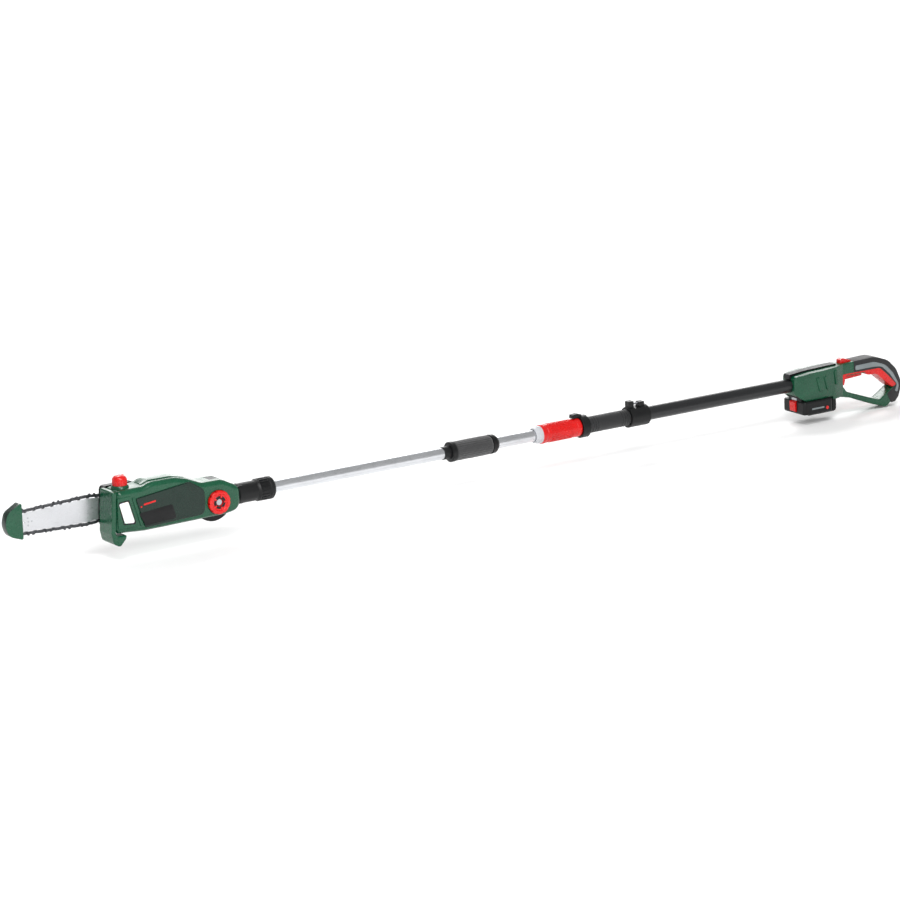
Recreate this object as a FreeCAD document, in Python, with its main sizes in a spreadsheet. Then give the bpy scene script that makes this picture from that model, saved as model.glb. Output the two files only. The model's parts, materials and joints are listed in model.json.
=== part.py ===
import FreeCAD, Part
import math
import os
import re
import Sketcher
from FreeCAD import Rotation, Vector
from fcgear import fcgear, involute

# Telescoping pole saw. Millimetres, +Z up. The pole's axis is the X axis, the saw is towards -X
# and the handle towards +X. The origin is on the pole's axis in the middle of the strap ring.

doc = FreeCAD.newDocument("PoleSaw")
sheet = doc.addObject("Spreadsheet::Sheet", "Sizes")

DRIVING = [
    # pole
    ("poleReach", 988, "strap ring to tilt pivot, along the pole"),
    ("rearTube", 392, "strap ring to the nose of the handle"),
    ("tubeRadius", 14, "outer tube, outside radius"),
    ("tubeWall", 1.5, "wall of both tubes"),
    ("innerRadius", 11.5, "inner tube, outside radius"),
    ("tubeFront", 175, "strap ring to the front end of the outer tube"),
    ("innerRear", 403, "strap ring to the rear end of the inner tube"),
    ("runGap", 0.1, "running clearance of a bush or shaft, on the radius"),
    ("looseGap", 0.35, "clearance between parts that move past each other"),
    ("mouthReach", 250, "strap ring to the mouth of the twist lock"),
    ("mouthLength", 15, "length of the mouth ring"),
    ("sleeveLength", 93, "length of the red twist sleeve"),
    ("sleeveWall", 3.05, "wall of the red twist sleeve"),
    ("colletWall", 1.6, "step from the outer tube up to the collet"),
    ("collarLength", 20, "black collar behind the sleeve"),
    ("collarStep", 3.5, "step from the sleeve up to the black collar"),
    ("gripWall", 2.5, "wall of the front grip sleeve"),
    ("ringFront", 21, "strap ring, from the origin forwards"),
    ("ringRear", 25, "strap ring, from the origin rearwards"),
    ("ringWall", 7, "wall of the strap ring"),
    ("lugWidth", 12, "strap lugs, across the pole"),
    ("strapPinRadius", 2, "pin between the strap lugs"),
    ("strapPinRise", 4.8, "strap ring's outside to the pin's axis"),
    ("foamReach", 466, "strap ring to the front of the foam grip"),
    ("foamLength", 86, "foam part of the grip"),
    ("foamRadius", 19.5, "foam grip, outside radius"),
    ("cableRadius", 3, "cable inside the pole"),
    # tilt joint
    ("discRadius", 40.8, "knuckle's disc at the tilt pivot"),
    ("discHalf", 11, "half of the disc's thickness"),
    ("cheekRadius", 51, "rounded rear end of the head, from the pivot"),
    ("axleRadius", 7.2, "pivot axle"),
    ("buttonRadius", 23, "red tilt lock button"),
    ("buttonWell", 10.3, "depth of the button's well in the cheek"),
    ("socketRadius", 19.5, "socket behind the joint"),
    ("socketCollar", 22, "socket's big collar, radius"),
    ("socketDepth", 49, "how far the tube goes into the socket"),
    # head
    ("headNear", 30, "head shell, from the middle plane to the label side"),
    ("headFar", 22, "head shell, from the middle plane to the bar side"),
    ("headWall", 3.2, "wall of the head shells"),
    ("headRound", 9, "rounding along the edges of the head"),
    ("barPlane", 27, "middle plane of the bar and chain"),
    ("barRise", 16.5, "bar's centre line above the pole's axis"),
    ("barThickness", 4, "guide bar"),
    ("grooveWidth", 1.5, "groove in the bar's edge"),
    ("grooveDepth", 6, "depth of the bar's groove"),
    ("barSeat", 4.2, "rivet line to the bar's edge"),
    ("chainGauge", 1.3, "thickness of the drive links"),
    ("strapThickness", 1.1, "thickness of the side links"),
    ("spindleReach", 162, "tilt pivot to the sprocket's axis"),
    ("bellyReach", 247, "tilt pivot to the widest place of the bar"),
    ("noseReach", 380, "tilt pivot to the centre of the bar's nose"),
    ("sprocketPitchRadius", 18.4, "rivet line round the sprocket"),
    ("bellyPitchRadius", 26.6, "rivet line at the bar's widest place"),
    ("nosePitchRadius", 21.5, "rivet line round the nose"),
    ("gearModule", 1, "module of the reduction gears"),
    ("gearTeeth", 50, "teeth of the large gear"),
    ("pinionTeeth", 12, "teeth of the motor pinion"),
    ("gearSpread", 0.15, "extra centre distance, which gives the backlash"),
    ("motorRadius", 18, "motor can"),
    ("capRadius", 15.5, "red oil cap"),
    # handle
    ("bodyHalf", 28, "half width of the handle's body"),
    ("loopHalf", 15, "half width of the handle's loop"),
    ("handleWall", 3, "wall of the handle's shells"),
    ("boardHalf", 15, "half width of the controller board"),
    ("bodyRound", 7, "rounding along the body's edges"),
    ("batteryHalf", 36, "half width of the battery"),
    ("batteryFront", 12, "handle's nose to the battery's front"),
    ("batteryLength", 76, "battery, along the pole"),
    ("neckDrop", 7.5, "outer tube to the top of the battery's narrow part"),
    ("neckHeight", 11.5, "battery's narrow part"),
    ("batteryHeight", 27.4, "battery's wide part"),
    ("neckHalf", 21.5, "half width of the battery's narrow part"),
    ("batteryWall", 2, "wall of the battery's cases"),
    ("cellRadius", 9.1, "battery cells"),
    ("cellLength", 65, "battery cells"),
    ("bowGap", 0.6, "battery's underside to the bow's foot"),
    ("bowFoot", 5, "thickness of the bow's foot"),
    ("bowHalf", 20, "half width of the bow"),
    ("triggerHalf", 7, "half width of the trigger"),
    ("screwRadius", 2, "case screws"),
]

# places worked out from the driving sizes
DERIVED = {
    "pivot": "-poleReach",
    "nose": "rearTube",
    "sleeveFront": "mouthLength - mouthReach",
    "sleeveRear": "sleeveFront + sleeveLength",
    "collarFront": "sleeveRear + 1",
    "collarRear": "collarFront + collarLength",
    "tubeRear": "nose + 60",
    "boreRadius": "tubeRadius - tubeWall",
    "colletRadius": "tubeRadius + colletWall",
    "sleeveRadius": "colletRadius + looseGap + sleeveWall",
    "collarRadius": "sleeveRadius + collarStep",
    "gripRadius": "tubeRadius + gripWall",
    "ringRadius": "tubeRadius + ringWall",
    "strapPinHeight": "ringRadius + strapPinRise",
    "batteryNeck": "tubeRadius + neckDrop",
    "batteryTop": "batteryNeck + neckHeight",
    "batteryBottom": "batteryTop + batteryHeight",
    "foamFront": "-foamReach + 25",
    "foamRear": "foamFront + foamLength",
    "socketMouth": "pivot + 134",
    "innerFront": "socketMouth - socketDepth",
    "spindle": "pivot - spindleReach",
    "gearDistance": "gearModule * (gearTeeth + pinionTeeth) / 2 + gearSpread",
    "motor": "spindle + gearDistance",
    "plateFace": "pivot - 219",
    "batteryNose": "nose + batteryFront",
    "batteryTail": "batteryNose + batteryLength",
    "footTop": "batteryBottom + bowGap",
}


def formula(text):
    """Text with cell names and derived names, as an expression on the sheet."""
    text = str(text)
    pattern = r"[A-Za-z]\w*"
    while any(word in DERIVED for word in re.findall(pattern, text)):
        text = re.sub(pattern, lambda m: "(%s)" % DERIVED[m[0]] if m[0] in DERIVED else m[0], text)
    names = [row[0] for row in DRIVING]
    return re.sub(pattern, lambda m: "Sizes." + m[0] if m[0] in names else m[0], text)


def value(text):
    return float(sheet.evalExpression(formula(text)))


def fillSheet():
    for row, (alias, size, note) in enumerate(DRIVING, start=1):
        sheet.set("A%d" % row, note)
        sheet.set("B%d" % row, str(size))
        sheet.setAlias("B%d" % row, alias)
    doc.recompute()


fillSheet()
subParts = []


def keep(item, label):
    """Label a finished sub-part, and put it on the list that is written out."""
    item.Label = label
    subParts.append(item)
    return item


def newBody(name):
    return doc.addObject("PartDesign::Body", name)


def bind(item, **expressions):
    for place, text in expressions.items():
        item.setExpression(place.replace("_", "."), formula(text))


def move(item, x="0", y="0", z="0", turn=None):
    """Place an item by expressions; turn is the direction that its own X axis takes."""
    if turn:
        item.Placement = FreeCAD.Placement(Vector(), Rotation(Vector(1, 0, 0), Vector(*turn)))
    bind(item, Placement_Base_x=x, Placement_Base_y=y, Placement_Base_z=z)
    return item


def settle(feature):
    """Recompute, and stop at once where the new feature fails."""
    doc.recompute()
    if "Invalid" in feature.State or "Error" in feature.State:
        raise RuntimeError("%s failed" % feature.Name)
    return feature


def newSketch(body, role, offset="0"):
    origin = next(item for item in body.Origin.OriginFeatures if item.Role == role)
    sketch = body.newObject("Sketcher::SketchObject", body.Name + "Sketch")
    sketch.AttachmentSupport = [(origin, "")]
    sketch.MapMode = "FlatFace"
    bind(sketch, AttachmentOffset_Base_z=offset)
    return sketch


def pin(sketch, geometry, end, x, y):
    """Tie a point of the sketch to the sheet."""
    for kind, text in (("DistanceX", x), ("DistanceY", y)):
        index = sketch.addConstraint(Sketcher.Constraint(kind, -1, 1, geometry, end, value(text)))
        sketch.setExpression("Constraints[%d]" % index, formula(text))


def drawOutline(sketch, corners):
    """A closed outline of (x, y) or (x, y, radius) corners, whose round corners are arcs."""
    corners = [tuple(corner) + (0,) * (3 - len(corner)) for corner in corners]
    points = [Vector(value(x), value(y), 0) for x, y, _ in corners]
    radii = [value(radius) for _, _, radius in corners]
    ends = []
    arcs = {}
    for i, point in enumerate(points):
        before = (points[i - 1] - point).normalize()
        after = (points[(i + 1) % len(points)] - point).normalize()
        half = before.getAngle(after) / 2
        back = radii[i] / math.tan(half) if radii[i] else 0
        ends.append((point + before * back, point + after * back))
        if radii[i]:
            centre = point + (before + after).normalize() * (radii[i] / math.sin(half))
            middle = centre + (point - centre).normalize() * radii[i]
            arcs[i] = Part.Arc(ends[i][0], middle, ends[i][1])
    lines = []
    for i in range(len(points)):
        following = (i + 1) % len(points)
        lines.append(sketch.addGeometry(Part.LineSegment(ends[i][1], ends[following][0]), False))
    for i, (x, y, radius) in enumerate(corners):
        arriving, leaving = lines[i - 1], lines[i]
        if i not in arcs:
            sketch.addConstraint(Sketcher.Constraint("Coincident", arriving, 2, leaving, 1))
            pin(sketch, leaving, 1, x, y)
            continue
        arc = sketch.addGeometry(arcs[i], False)
        forwards = sketch.getPoint(arc, 1).distanceToPoint(ends[i][0]) < 1e-6
        first, last = (1, 2) if forwards else (2, 1)
        sketch.addConstraint(Sketcher.Constraint("Tangent", arriving, 2, arc, first))
        sketch.addConstraint(Sketcher.Constraint("Tangent", arc, last, leaving, 1))
        index = sketch.addConstraint(Sketcher.Constraint("Radius", arc, radii[i]))
        sketch.setExpression("Constraints[%d]" % index, formula(radius))
        corner = sketch.addGeometry(Part.Point(points[i]), True)
        sketch.addConstraint(Sketcher.Constraint("PointOnObject", corner, 1, arriving))
        sketch.addConstraint(Sketcher.Constraint("PointOnObject", corner, 1, leaving))
        pin(sketch, corner, 1, x, y)


def rectangle(x1, x2, y1, y2, radius="0"):
    return [(x1, y1, radius), (x2, y1, radius), (x2, y2, radius), (x1, y2, radius)]


PLANES = {"Y": "XZ_Plane", "X": "YZ_Plane", "Z": "XY_Plane"}


def pad(body, axis, start, end, *outlines):
    """Add a slab between two places on an axis; further outlines are holes in it."""
    near, far = ("-(%s)" % end, "-(%s)" % start) if axis == "Y" else (start, end)
    sketch = newSketch(body, PLANES[axis], near)
    for outline in outlines:
        drawOutline(sketch, outline)
    slab = body.newObject("PartDesign::Pad", body.Name + "Pad")
    slab.Profile = sketch
    bind(slab, Length="(%s) - (%s)" % (far, near))
    return settle(slab)


def pocket(body, axis, start, end, *outlines):
    """Cut a slab out between two places on an axis."""
    near, far = ("-(%s)" % end, "-(%s)" % start) if axis == "Y" else (start, end)
    before = body.Shape.Volume
    sketch = newSketch(body, PLANES[axis], far)
    for outline in outlines:
        drawOutline(sketch, outline)
    cut = body.newObject("PartDesign::Pocket", body.Name + "Pocket")
    cut.Profile = sketch
    bind(cut, Length="(%s) - (%s)" % (far, near))
    settle(cut)
    if body.Shape.Volume > before - 0.01:
        raise RuntimeError("a pocket in %s cuts nothing" % body.Name)
    return cut


def turned(name, profile, at=("0", "0", "0"), along=None):
    """A body of revolution: (x, radius) points round its own X axis, which may be turned."""
    body = newBody(name)
    sketch = newSketch(body, "XZ_Plane")
    drawOutline(sketch, profile)
    revolution = body.newObject("PartDesign::Revolution", name + "Revolution")
    revolution.Profile = sketch
    revolution.ReferenceAxis = (sketch, ["H_Axis"])
    revolution.Angle = 360
    doc.recompute()
    return move(body, *at, turn=along)


def ring(name, start, end, inner, outer, at=("0", "0", "0"), along=None):
    return turned(name, rectangle(start, end, inner, outer), at, along)


def soften(body, radius, chosen, kind="Fillet"):
    """Round or chamfer the edges that chosen picks on the body as it is so far."""
    base = body.Tip
    names = ["Edge%d" % (i + 1) for i, edge in enumerate(base.Shape.Edges) if chosen(edge)]
    feature = body.newObject("PartDesign::" + kind, body.Name + kind)
    if not names:
        raise RuntimeError("no edges to soften in %s" % body.Name)
    feature.Base = (base, names)
    bind(feature, **{"Radius" if kind == "Fillet" else "Size": radius})
    return settle(feature)


def onPlane(axis, text, inside=None):
    """A test for edges that lie in one plane, and in a range of x where one is given."""
    place = value(text)

    def chosen(edge):
        box = edge.BoundBox
        low, high = getattr(box, axis + "Min"), getattr(box, axis + "Max")
        if abs(low - place) > 1e-3 or abs(high - place) > 1e-3:
            return False
        return inside is None or value(inside[0]) <= edge.CenterOfMass.x <= value(inside[1])
    return chosen


def cylinder(name, radius, height, at, along):
    """A plain round pin or bore, from its base centre along a direction."""
    item = doc.addObject("Part::Cylinder", name)
    bind(item, Radius=radius, Height=height)
    item.Placement = FreeCAD.Placement(Vector(), Rotation(Vector(0, 0, 1), Vector(*along)))
    bind(item, Placement_Base_x=at[0], Placement_Base_y=at[1], Placement_Base_z=at[2])
    return item


def block(name, x, y, z):
    """A box between pairs of places."""
    item = doc.addObject("Part::Box", name)
    bind(item, Length="(%s) - (%s)" % (x[1], x[0]), Width="(%s) - (%s)" % (y[1], y[0]),
         Height="(%s) - (%s)" % (z[1], z[0]), Placement_Base_x=x[0], Placement_Base_y=y[0],
         Placement_Base_z=z[0])
    return item


def cut(name, base, *tools):
    """The base with each of the tools taken out."""
    for count, tool in enumerate(tools):
        result = doc.addObject("Part::Cut", "%sCut%d" % (name, count))
        result.Base = base
        result.Tool = tool
        base = result
    doc.recompute()
    return base


def group(name, items):
    item = doc.addObject("Part::Compound", name)
    item.Links = items
    doc.recompute()
    return item


def screws(name, places, radius, length, headRadius, headLength, along):
    """Identical screws: the head's outer face is at the place, and the shank points along."""
    made = []
    for count, at in enumerate(places):
        profile = [("0", "0"), ("0", headRadius), (headLength, headRadius), (headLength, radius),
                   (length, radius), (length, "0")]
        made.append(turned("%s%d" % (name, count), profile, at, along))
    return group(name, made)


# ---------------------------------------------------------------- pole, fixed part
def outerTube():
    keep(ring("OuterTube", "-tubeFront", "tubeRear", "boreRadius", "tubeRadius"), "outer_tube")


def clampCollet():
    """Slotted collet on the end of the outer tube, which the twist sleeve squeezes."""
    inner = "innerRadius + looseGap"
    front = "sleeveFront + 0.5"
    profile = [(front, inner), ("-tubeFront", inner), ("-tubeFront", "tubeRadius"),
               ("sleeveRear - 1", "tubeRadius"), ("sleeveRear - 1", "colletRadius"),
               (front, "colletRadius")]
    body = turned("Collet", profile)
    slot = rectangle("%s - 1" % front, "-tubeFront - 12", "-1", "1")
    pocket(body, "Z", "-colletRadius - 1", "colletRadius + 1", slot)
    pocket(body, "Y", "-colletRadius - 1", "colletRadius + 1", slot)
    keep(body, "clamp_collet")


def lockCollar():
    """Black collar behind the sleeve, with the finger that marks its locked place."""
    profile = [("collarFront", "tubeRadius"), ("collarRear", "tubeRadius"),
               ("collarRear", "collarRadius - 3"), ("collarRear - 3", "collarRadius"),
               ("collarFront + 1", "collarRadius"), ("collarFront", "collarRadius - 1")]
    body = turned("Collar", profile)
    finger = [("collarFront - 17", "sleeveRadius + 1.2"), ("collarFront + 6", "sleeveRadius + 1.2"),
              ("collarFront + 6", "collarRadius + 3"), ("collarFront - 4", "collarRadius + 6", "2"),
              ("collarFront - 17", "collarRadius + 5", "2")]
    pad(body, "Y", "-5", "5", finger)
    keep(body, "lock_collar")


def frontGripSleeve():
    profile = [("collarRear", "tubeRadius"), ("-ringFront", "tubeRadius"),
               ("-ringFront", "gripRadius - 1"), ("-ringFront - 1", "gripRadius"),
               ("collarRear", "gripRadius")]
    keep(turned("GripSleeve", profile), "front_grip_sleeve")


def strapRing():
    """Two half rings, the upper one with the lugs of the strap's pin."""
    def halfRing(name, sign):
        body = newBody(name)
        sketch = newSketch(body, "YZ_Plane", "-ringFront")
        for radius in ("tubeRadius", "ringRadius"):
            size = value(radius)
            arc = Part.Arc(Vector(size, 0, 0), Vector(0, sign * size, 0), Vector(-size, 0, 0))
            index = sketch.addGeometry(arc, False)
            sketch.addConstraint(Sketcher.Constraint("Coincident", index, 3, -1, 1))
            number = sketch.addConstraint(Sketcher.Constraint("Radius", index, size))
            sketch.setExpression("Constraints[%d]" % number, formula(radius))
        for side in (1, -1):
            inner = Vector(side * value("tubeRadius"), 0, 0)
            outer = Vector(side * value("ringRadius"), 0, 0)
            line = sketch.addGeometry(Part.LineSegment(inner, outer), False)
            for arc, end in ((0, 1), (1, 2)):
                start = sketch.getPoint(arc, 1)
                corner = inner if end == 1 else outer
                near = 1 if start.distanceToPoint(corner) < 1e-6 else 2
                sketch.addConstraint(Sketcher.Constraint("Coincident", line, end, arc, near))
            sketch.addConstraint(Sketcher.Constraint("PointOnObject", line, 1, -1))
        slab = body.newObject("PartDesign::Pad", name + "Pad")
        slab.Profile = sketch
        bind(slab, Length="ringFront + ringRear")
        doc.recompute()
        return body

    upper = halfRing("RingUpper", 1)
    across = ("-lugWidth / 2", "lugWidth / 2")
    low = "ringRadius - 4"
    pad(upper, "Y", *across, rectangle("1 - ringFront", "-ringFront / 3", low, "strapPinHeight + 7", "1.5"))
    pad(upper, "Y", *across, rectangle("ringRear / 4", "ringRear - 6", low, "strapPinHeight + 3", "1.5"))
    notch = rectangle("-ringFront / 3", "ringRear / 4", "ringRadius - 3", "ringRadius + 2")
    pocket(upper, "Y", "-ringRadius", "ringRadius", notch)
    bore = cylinder("StrapPinBore", "strapPinRadius", "ringRear - 7 - 2 + ringFront",
                    ("3 - ringFront", "0", "strapPinHeight"), (1, 0, 0))
    keep(cut("RingUpper", upper, bore), "strap_ring_upper")
    keep(halfRing("RingLower", -1), "strap_ring_lower")
    shank = cylinder("StrapPin", "strapPinRadius", "ringRear - 7 - 2 + ringFront",
                     ("3 - ringFront", "0", "strapPinHeight"), (1, 0, 0))
    keep(shank, "strap_pin")


# ---------------------------------------------------------------- twist sleeve
def lockSleeve():
    inner = "colletRadius + looseGap"
    profile = [("sleeveFront", inner), ("sleeveRear", inner), ("sleeveRear", "sleeveRadius - 0.6"),
               ("sleeveRear - 2", "sleeveRadius"), ("sleeveFront + 30", "sleeveRadius - 0.4"),
               ("sleeveFront + 2", "sleeveRadius + 0.4"), ("sleeveFront", "sleeveRadius - 1")]
    keep(turned("Sleeve", profile), "lock_sleeve")


def mouthRing():
    inner = "innerRadius + looseGap + 0.15"
    profile = [("-mouthReach", inner), ("sleeveFront", inner), ("sleeveFront", "sleeveRadius - 1.2"),
               ("-mouthReach + 4", "sleeveRadius - 1.2"), ("-mouthReach", "sleeveRadius - 3.5")]
    keep(turned("MouthRing", profile), "sleeve_mouth_ring")


# ---------------------------------------------------------------- pole, sliding part
def innerTube():
    keep(ring("InnerTube", "innerFront", "innerRear", "innerRadius - tubeWall", "innerRadius"),
         "inner_tube")


def rearBush():
    keep(ring("RearBush", "innerRear - 28", "innerRear", "innerRadius", "boreRadius - runGap"),
         "rear_bush")


def foamGrip():
    keep(ring("Foam", "foamFront", "foamRear", "innerRadius", "foamRadius"), "foam_grip")
    front = [("-foamReach", "innerRadius"), ("foamFront", "innerRadius"), ("foamFront", "foamRadius + 0.5"),
             ("foamFront - 8", "foamRadius + 0.5"), ("foamFront - 9.5", "foamRadius - 2"),
             ("foamFront - 9.5", "innerRadius + 1.6"), ("-foamReach", "innerRadius + 1.2")]
    keep(turned("FoamFrontRing", front), "foam_front_ring")
    rear = [("foamRear", "innerRadius"), ("foamRear + 16", "innerRadius"),
            ("foamRear + 16", "innerRadius + 2", "1"), ("foamRear + 10", "foamRadius - 1", "3"),
            ("foamRear", "foamRadius")]
    keep(turned("FoamRearRing", rear), "foam_rear_ring")


def poleCable():
    """Straight cable inside the inner tube, and the coiled cable that lets the pole extend."""
    length = "innerRear - innerFront + 14"
    keep(cylinder("PoleCable", "cableRadius", length, ("innerFront - 14", "0", "0"), (1, 0, 0)),
         "pole_cable")
    keep(ring("CoilCable", "innerRear + 0.5", "tubeRear - 1", "cableRadius * 2", "boreRadius - 3"),
         "coil_cable")


def knuckle():
    """Disc and tongue of the tilt joint, in one piece with the socket of the inner tube."""
    body = newBody("Knuckle")
    collarBack = "socketMouth - 39"
    profile = [("cheekRadius + 1.5", "0"), ("cheekRadius + 1.5", "socketRadius - 3"),
               ("cheekRadius + 4.5", "socketRadius"), ("poleReach + (%s)" % collarBack, "socketRadius"),
               ("poleReach + (%s)" % collarBack, "socketRadius - 2"),
               ("poleReach + socketMouth - 4", "socketRadius - 2"),
               ("poleReach + socketMouth - 4", "innerRadius"),
               ("poleReach + innerFront", "innerRadius"),
               ("poleReach + innerFront", "cableRadius + looseGap"),
               ("poleReach + innerFront - 15", "cableRadius + looseGap"),
               ("poleReach + innerFront - 15", "0")]
    sketch = newSketch(body, "XZ_Plane")
    drawOutline(sketch, profile)
    socket = body.newObject("PartDesign::Revolution", "KnuckleSocket")
    socket.Profile = sketch
    socket.ReferenceAxis = (sketch, ["H_Axis"])
    socket.Angle = 360
    tongue = newSketch(body, "XZ_Plane", "-discHalf")
    size = value("discRadius")
    rim = tongue.addGeometry(Part.Circle(Vector(), Vector(0, 0, 1), size), False)
    tongue.addConstraint(Sketcher.Constraint("Coincident", rim, 3, -1, 1))
    number = tongue.addConstraint(Sketcher.Constraint("Radius", rim, size))
    tongue.setExpression("Constraints[%d]" % number, formula("discRadius"))
    disc = body.newObject("PartDesign::Pad", "KnuckleDisc")
    disc.Profile = tongue
    bind(disc, Length="discHalf * 2")
    doc.recompute()
    pad(body, "Y", "-discHalf", "discHalf",
        [("10", "-socketRadius + 2"), ("cheekRadius + 12", "-socketRadius + 2"),
         ("cheekRadius + 12", "socketRadius - 2"), ("10", "socketRadius - 2")])
    move(body, "pivot")
    axleBore = cylinder("AxleBore", "axleRadius + runGap", "discHalf * 2 + 2",
                        ("pivot", "-discHalf - 1", "0"), (0, 1, 0))
    sleeveBore = cylinder("ButtonRecess", "axleRadius + 5.2", "7", ("pivot", "-discHalf - 1", "0"),
                          (0, 1, 0))
    channel = block("LeadChannel", ("pivot - discRadius - 1", "pivot + cheekRadius + 4"),
                    ("-3.4", "3.4"), ("11", "18"))
    drop = block("LeadDrop", ("pivot + cheekRadius - 4", "pivot + cheekRadius + 20"),
                 ("-3.4", "3.4"), ("-3.4", "18"))
    keep(cut("KnuckleDone", body, axleBore, sleeveBore, channel, drop), "knuckle")


def socketCollar():
    back = "socketMouth - 39"
    profile = [(back, "socketRadius - 2"), ("socketMouth - 4", "socketRadius - 2"),
               ("socketMouth - 4", "innerRadius"), ("socketMouth", "innerRadius"),
               ("socketMouth", "socketCollar - 5"), ("socketMouth - 5", "socketCollar"),
               ("%s + 4" % back, "socketCollar"), (back, "socketCollar - 3")]
    keep(turned("SocketCollar", profile), "socket_collar")


# ---------------------------------------------------------------- tilt joint
def pivotAxle():
    """Stepped axle that holds the cheeks on the knuckle's disc, riveted over on the bar side."""
    profile = [("-headNear - 3", "0"), ("-headNear - 3", "axleRadius - 1.5"),
               ("-headNear - 1.5", "axleRadius"), ("discHalf", "axleRadius"), ("discHalf", "4"),
               ("headFar - 5", "4"), ("headFar - 5", "7.5"), ("headFar - 1", "6"), ("headFar - 1", "0")]
    keep(turned("Axle", profile, ("pivot", "0", "0"), (0, 1, 0)), "pivot_axle")


def tiltButton():
    """Red ring that is pressed in to free the tilt, round the axle's end."""
    hole = "axleRadius + looseGap"
    profile = [("-headNear + 1", hole), ("-discHalf - 3", hole), ("-discHalf - 3", "axleRadius + 4.6"),
               ("-headNear + 1", "axleRadius + 4.6"), ("-headNear + 1", "buttonRadius"),
               ("-headNear - 5", "buttonRadius", "2.5"), ("-headNear - 7", "buttonRadius - 9"),
               ("-headNear - 4", hole)]
    keep(turned("TiltButton", profile, ("pivot", "0", "0"), (0, 1, 0)), "tilt_lock_button")
    keep(helixSpring("TiltSpring", "axleRadius + 7", "0.6", "buttonWell - 1", 3,
                     ("pivot", "-headNear + buttonWell", "0"), (0, -1, 0)), "tilt_button_spring")


def helixSpring(name, radiusText, wireText, lengthText, turns, at, along):
    """A coil spring, from its base along a direction."""
    radius, wire, length = value(radiusText), value(wireText), value(lengthText)
    helix = Part.makeHelix((length - 2 * wire) / turns, length - 2 * wire, radius)
    start = helix.Vertexes[0].Point
    section = Part.Wire(Part.makeCircle(wire, start, Vector(0, 1, 0.05)))
    coil = Part.Wire(helix).makePipeShell([section], True, True)
    item = doc.addObject("Part::Feature", name)
    item.Shape = coil
    direction = Vector(*along)
    place = Vector(*[value(text) for text in at]) + direction * wire
    item.Placement = FreeCAD.Placement(place, Rotation(Vector(0, 0, 1), direction))
    return item


def routedTube(name, points, radius, bend):
    """A tube along straight runs joined by tangent arcs of one radius."""
    places = [Vector(*[value(text) for text in point]) for point in points]
    size = value(bend)
    edges = []
    start = places[0]
    for before, corner, after in zip(places, places[1:], places[2:]):
        back = (before - corner).normalize()
        on = (after - corner).normalize()
        half = back.getAngle(on) / 2
        reach = size / math.tan(half)
        middle = (back + on).normalize()
        centre = corner + middle * (size / math.sin(half))
        entry, leave = corner + back * reach, corner + on * reach
        edges.append(Part.LineSegment(start, entry).toShape())
        edges.append(Part.Arc(entry, centre - middle * size, leave).toShape())
        start = leave
    edges.append(Part.LineSegment(start, places[-1]).toShape())
    direction = places[1] - places[0]
    section = Part.Wire(Part.makeCircle(value(radius), places[0], direction))
    item = doc.addObject("Part::Feature", name)
    item.Shape = Part.Wire(edges).makePipeShell([section], True, False)
    return item


def tiltLead():
    """Lead that crosses the tilt joint through the channel in the knuckle's disc."""
    points = [("motor + motorRadius", "0", "14.5"), ("pivot + cheekRadius - 2", "0", "14.5"),
              ("innerFront - 16", "0", "0")]
    keep(routedTube("TiltLead", points, "2.5", "6"), "tilt_lead")


# ---------------------------------------------------------------- head
HEAD_OUTLINE = [
    ("plateFace", "-24", "10"), ("plateFace + 6", "56", "10"), ("pivot - 158", "56", "40"),
    ("pivot - 142", "62", "30"), ("pivot - 90", "61.5", "60"), ("pivot - 62", "55", "40"),
    ("pivot - 30", "41", "30"), ("pivot + 12", "40.5", "30"), ("pivot + cheekRadius - 2", "22", "18"),
    ("pivot + cheekRadius - 2", "-22", "18"), ("pivot + 18", "-27.5", "20"), ("pivot - 158", "-29", "40")]
HEAD_HOLLOW = [
    ("plateFace + headWall", "headWall - 24"), ("plateFace + 6 + headWall", "56 - headWall"),
    ("pivot - 158", "56 - headWall"), ("pivot - 142", "62 - headWall"),
    ("pivot - 90", "61.5 - headWall"), ("pivot - 62", "55 - headWall"),
    ("pivot - 50", "49.8 - headWall"), ("pivot - 50", "headWall - 28"),
    ("pivot - 158", "headWall - 29")]
WINDOW = [("plateFace + 8", "32.5", "3"), ("plateFace + 27", "34.5", "3"),
          ("plateFace + 39", "-8", "3"), ("plateFace + 18", "-6", "3")]
BEZEL = [("plateFace + 5.3", "43", "3"), ("plateFace + 33", "44", "3"),
         ("plateFace + 45", "-17", "3"), ("plateFace + 4", "-17", "3")]
PANEL = [("pivot - 174", "34", "5"), ("pivot - 60", "48", "8"),
         ("pivot - 31", "-18", "8"), ("pivot - 160", "-20", "6")]
HEAD_SCREWS = [("pivot - 62", "40"), ("pivot - 60", "-19"), ("pivot - 108", "52.5"),
               ("pivot - 127", "-19"), ("pivot - 170", "46.5")]


def headScrews():
    places = [(x, "headFar - 2", z) for x, z in HEAD_SCREWS]
    return keep(screws("HeadScrews", places, "screwRadius", "headFar + 10", "3.6", "2.5", (0, -1, 0)),
                "head_screws")


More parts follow.
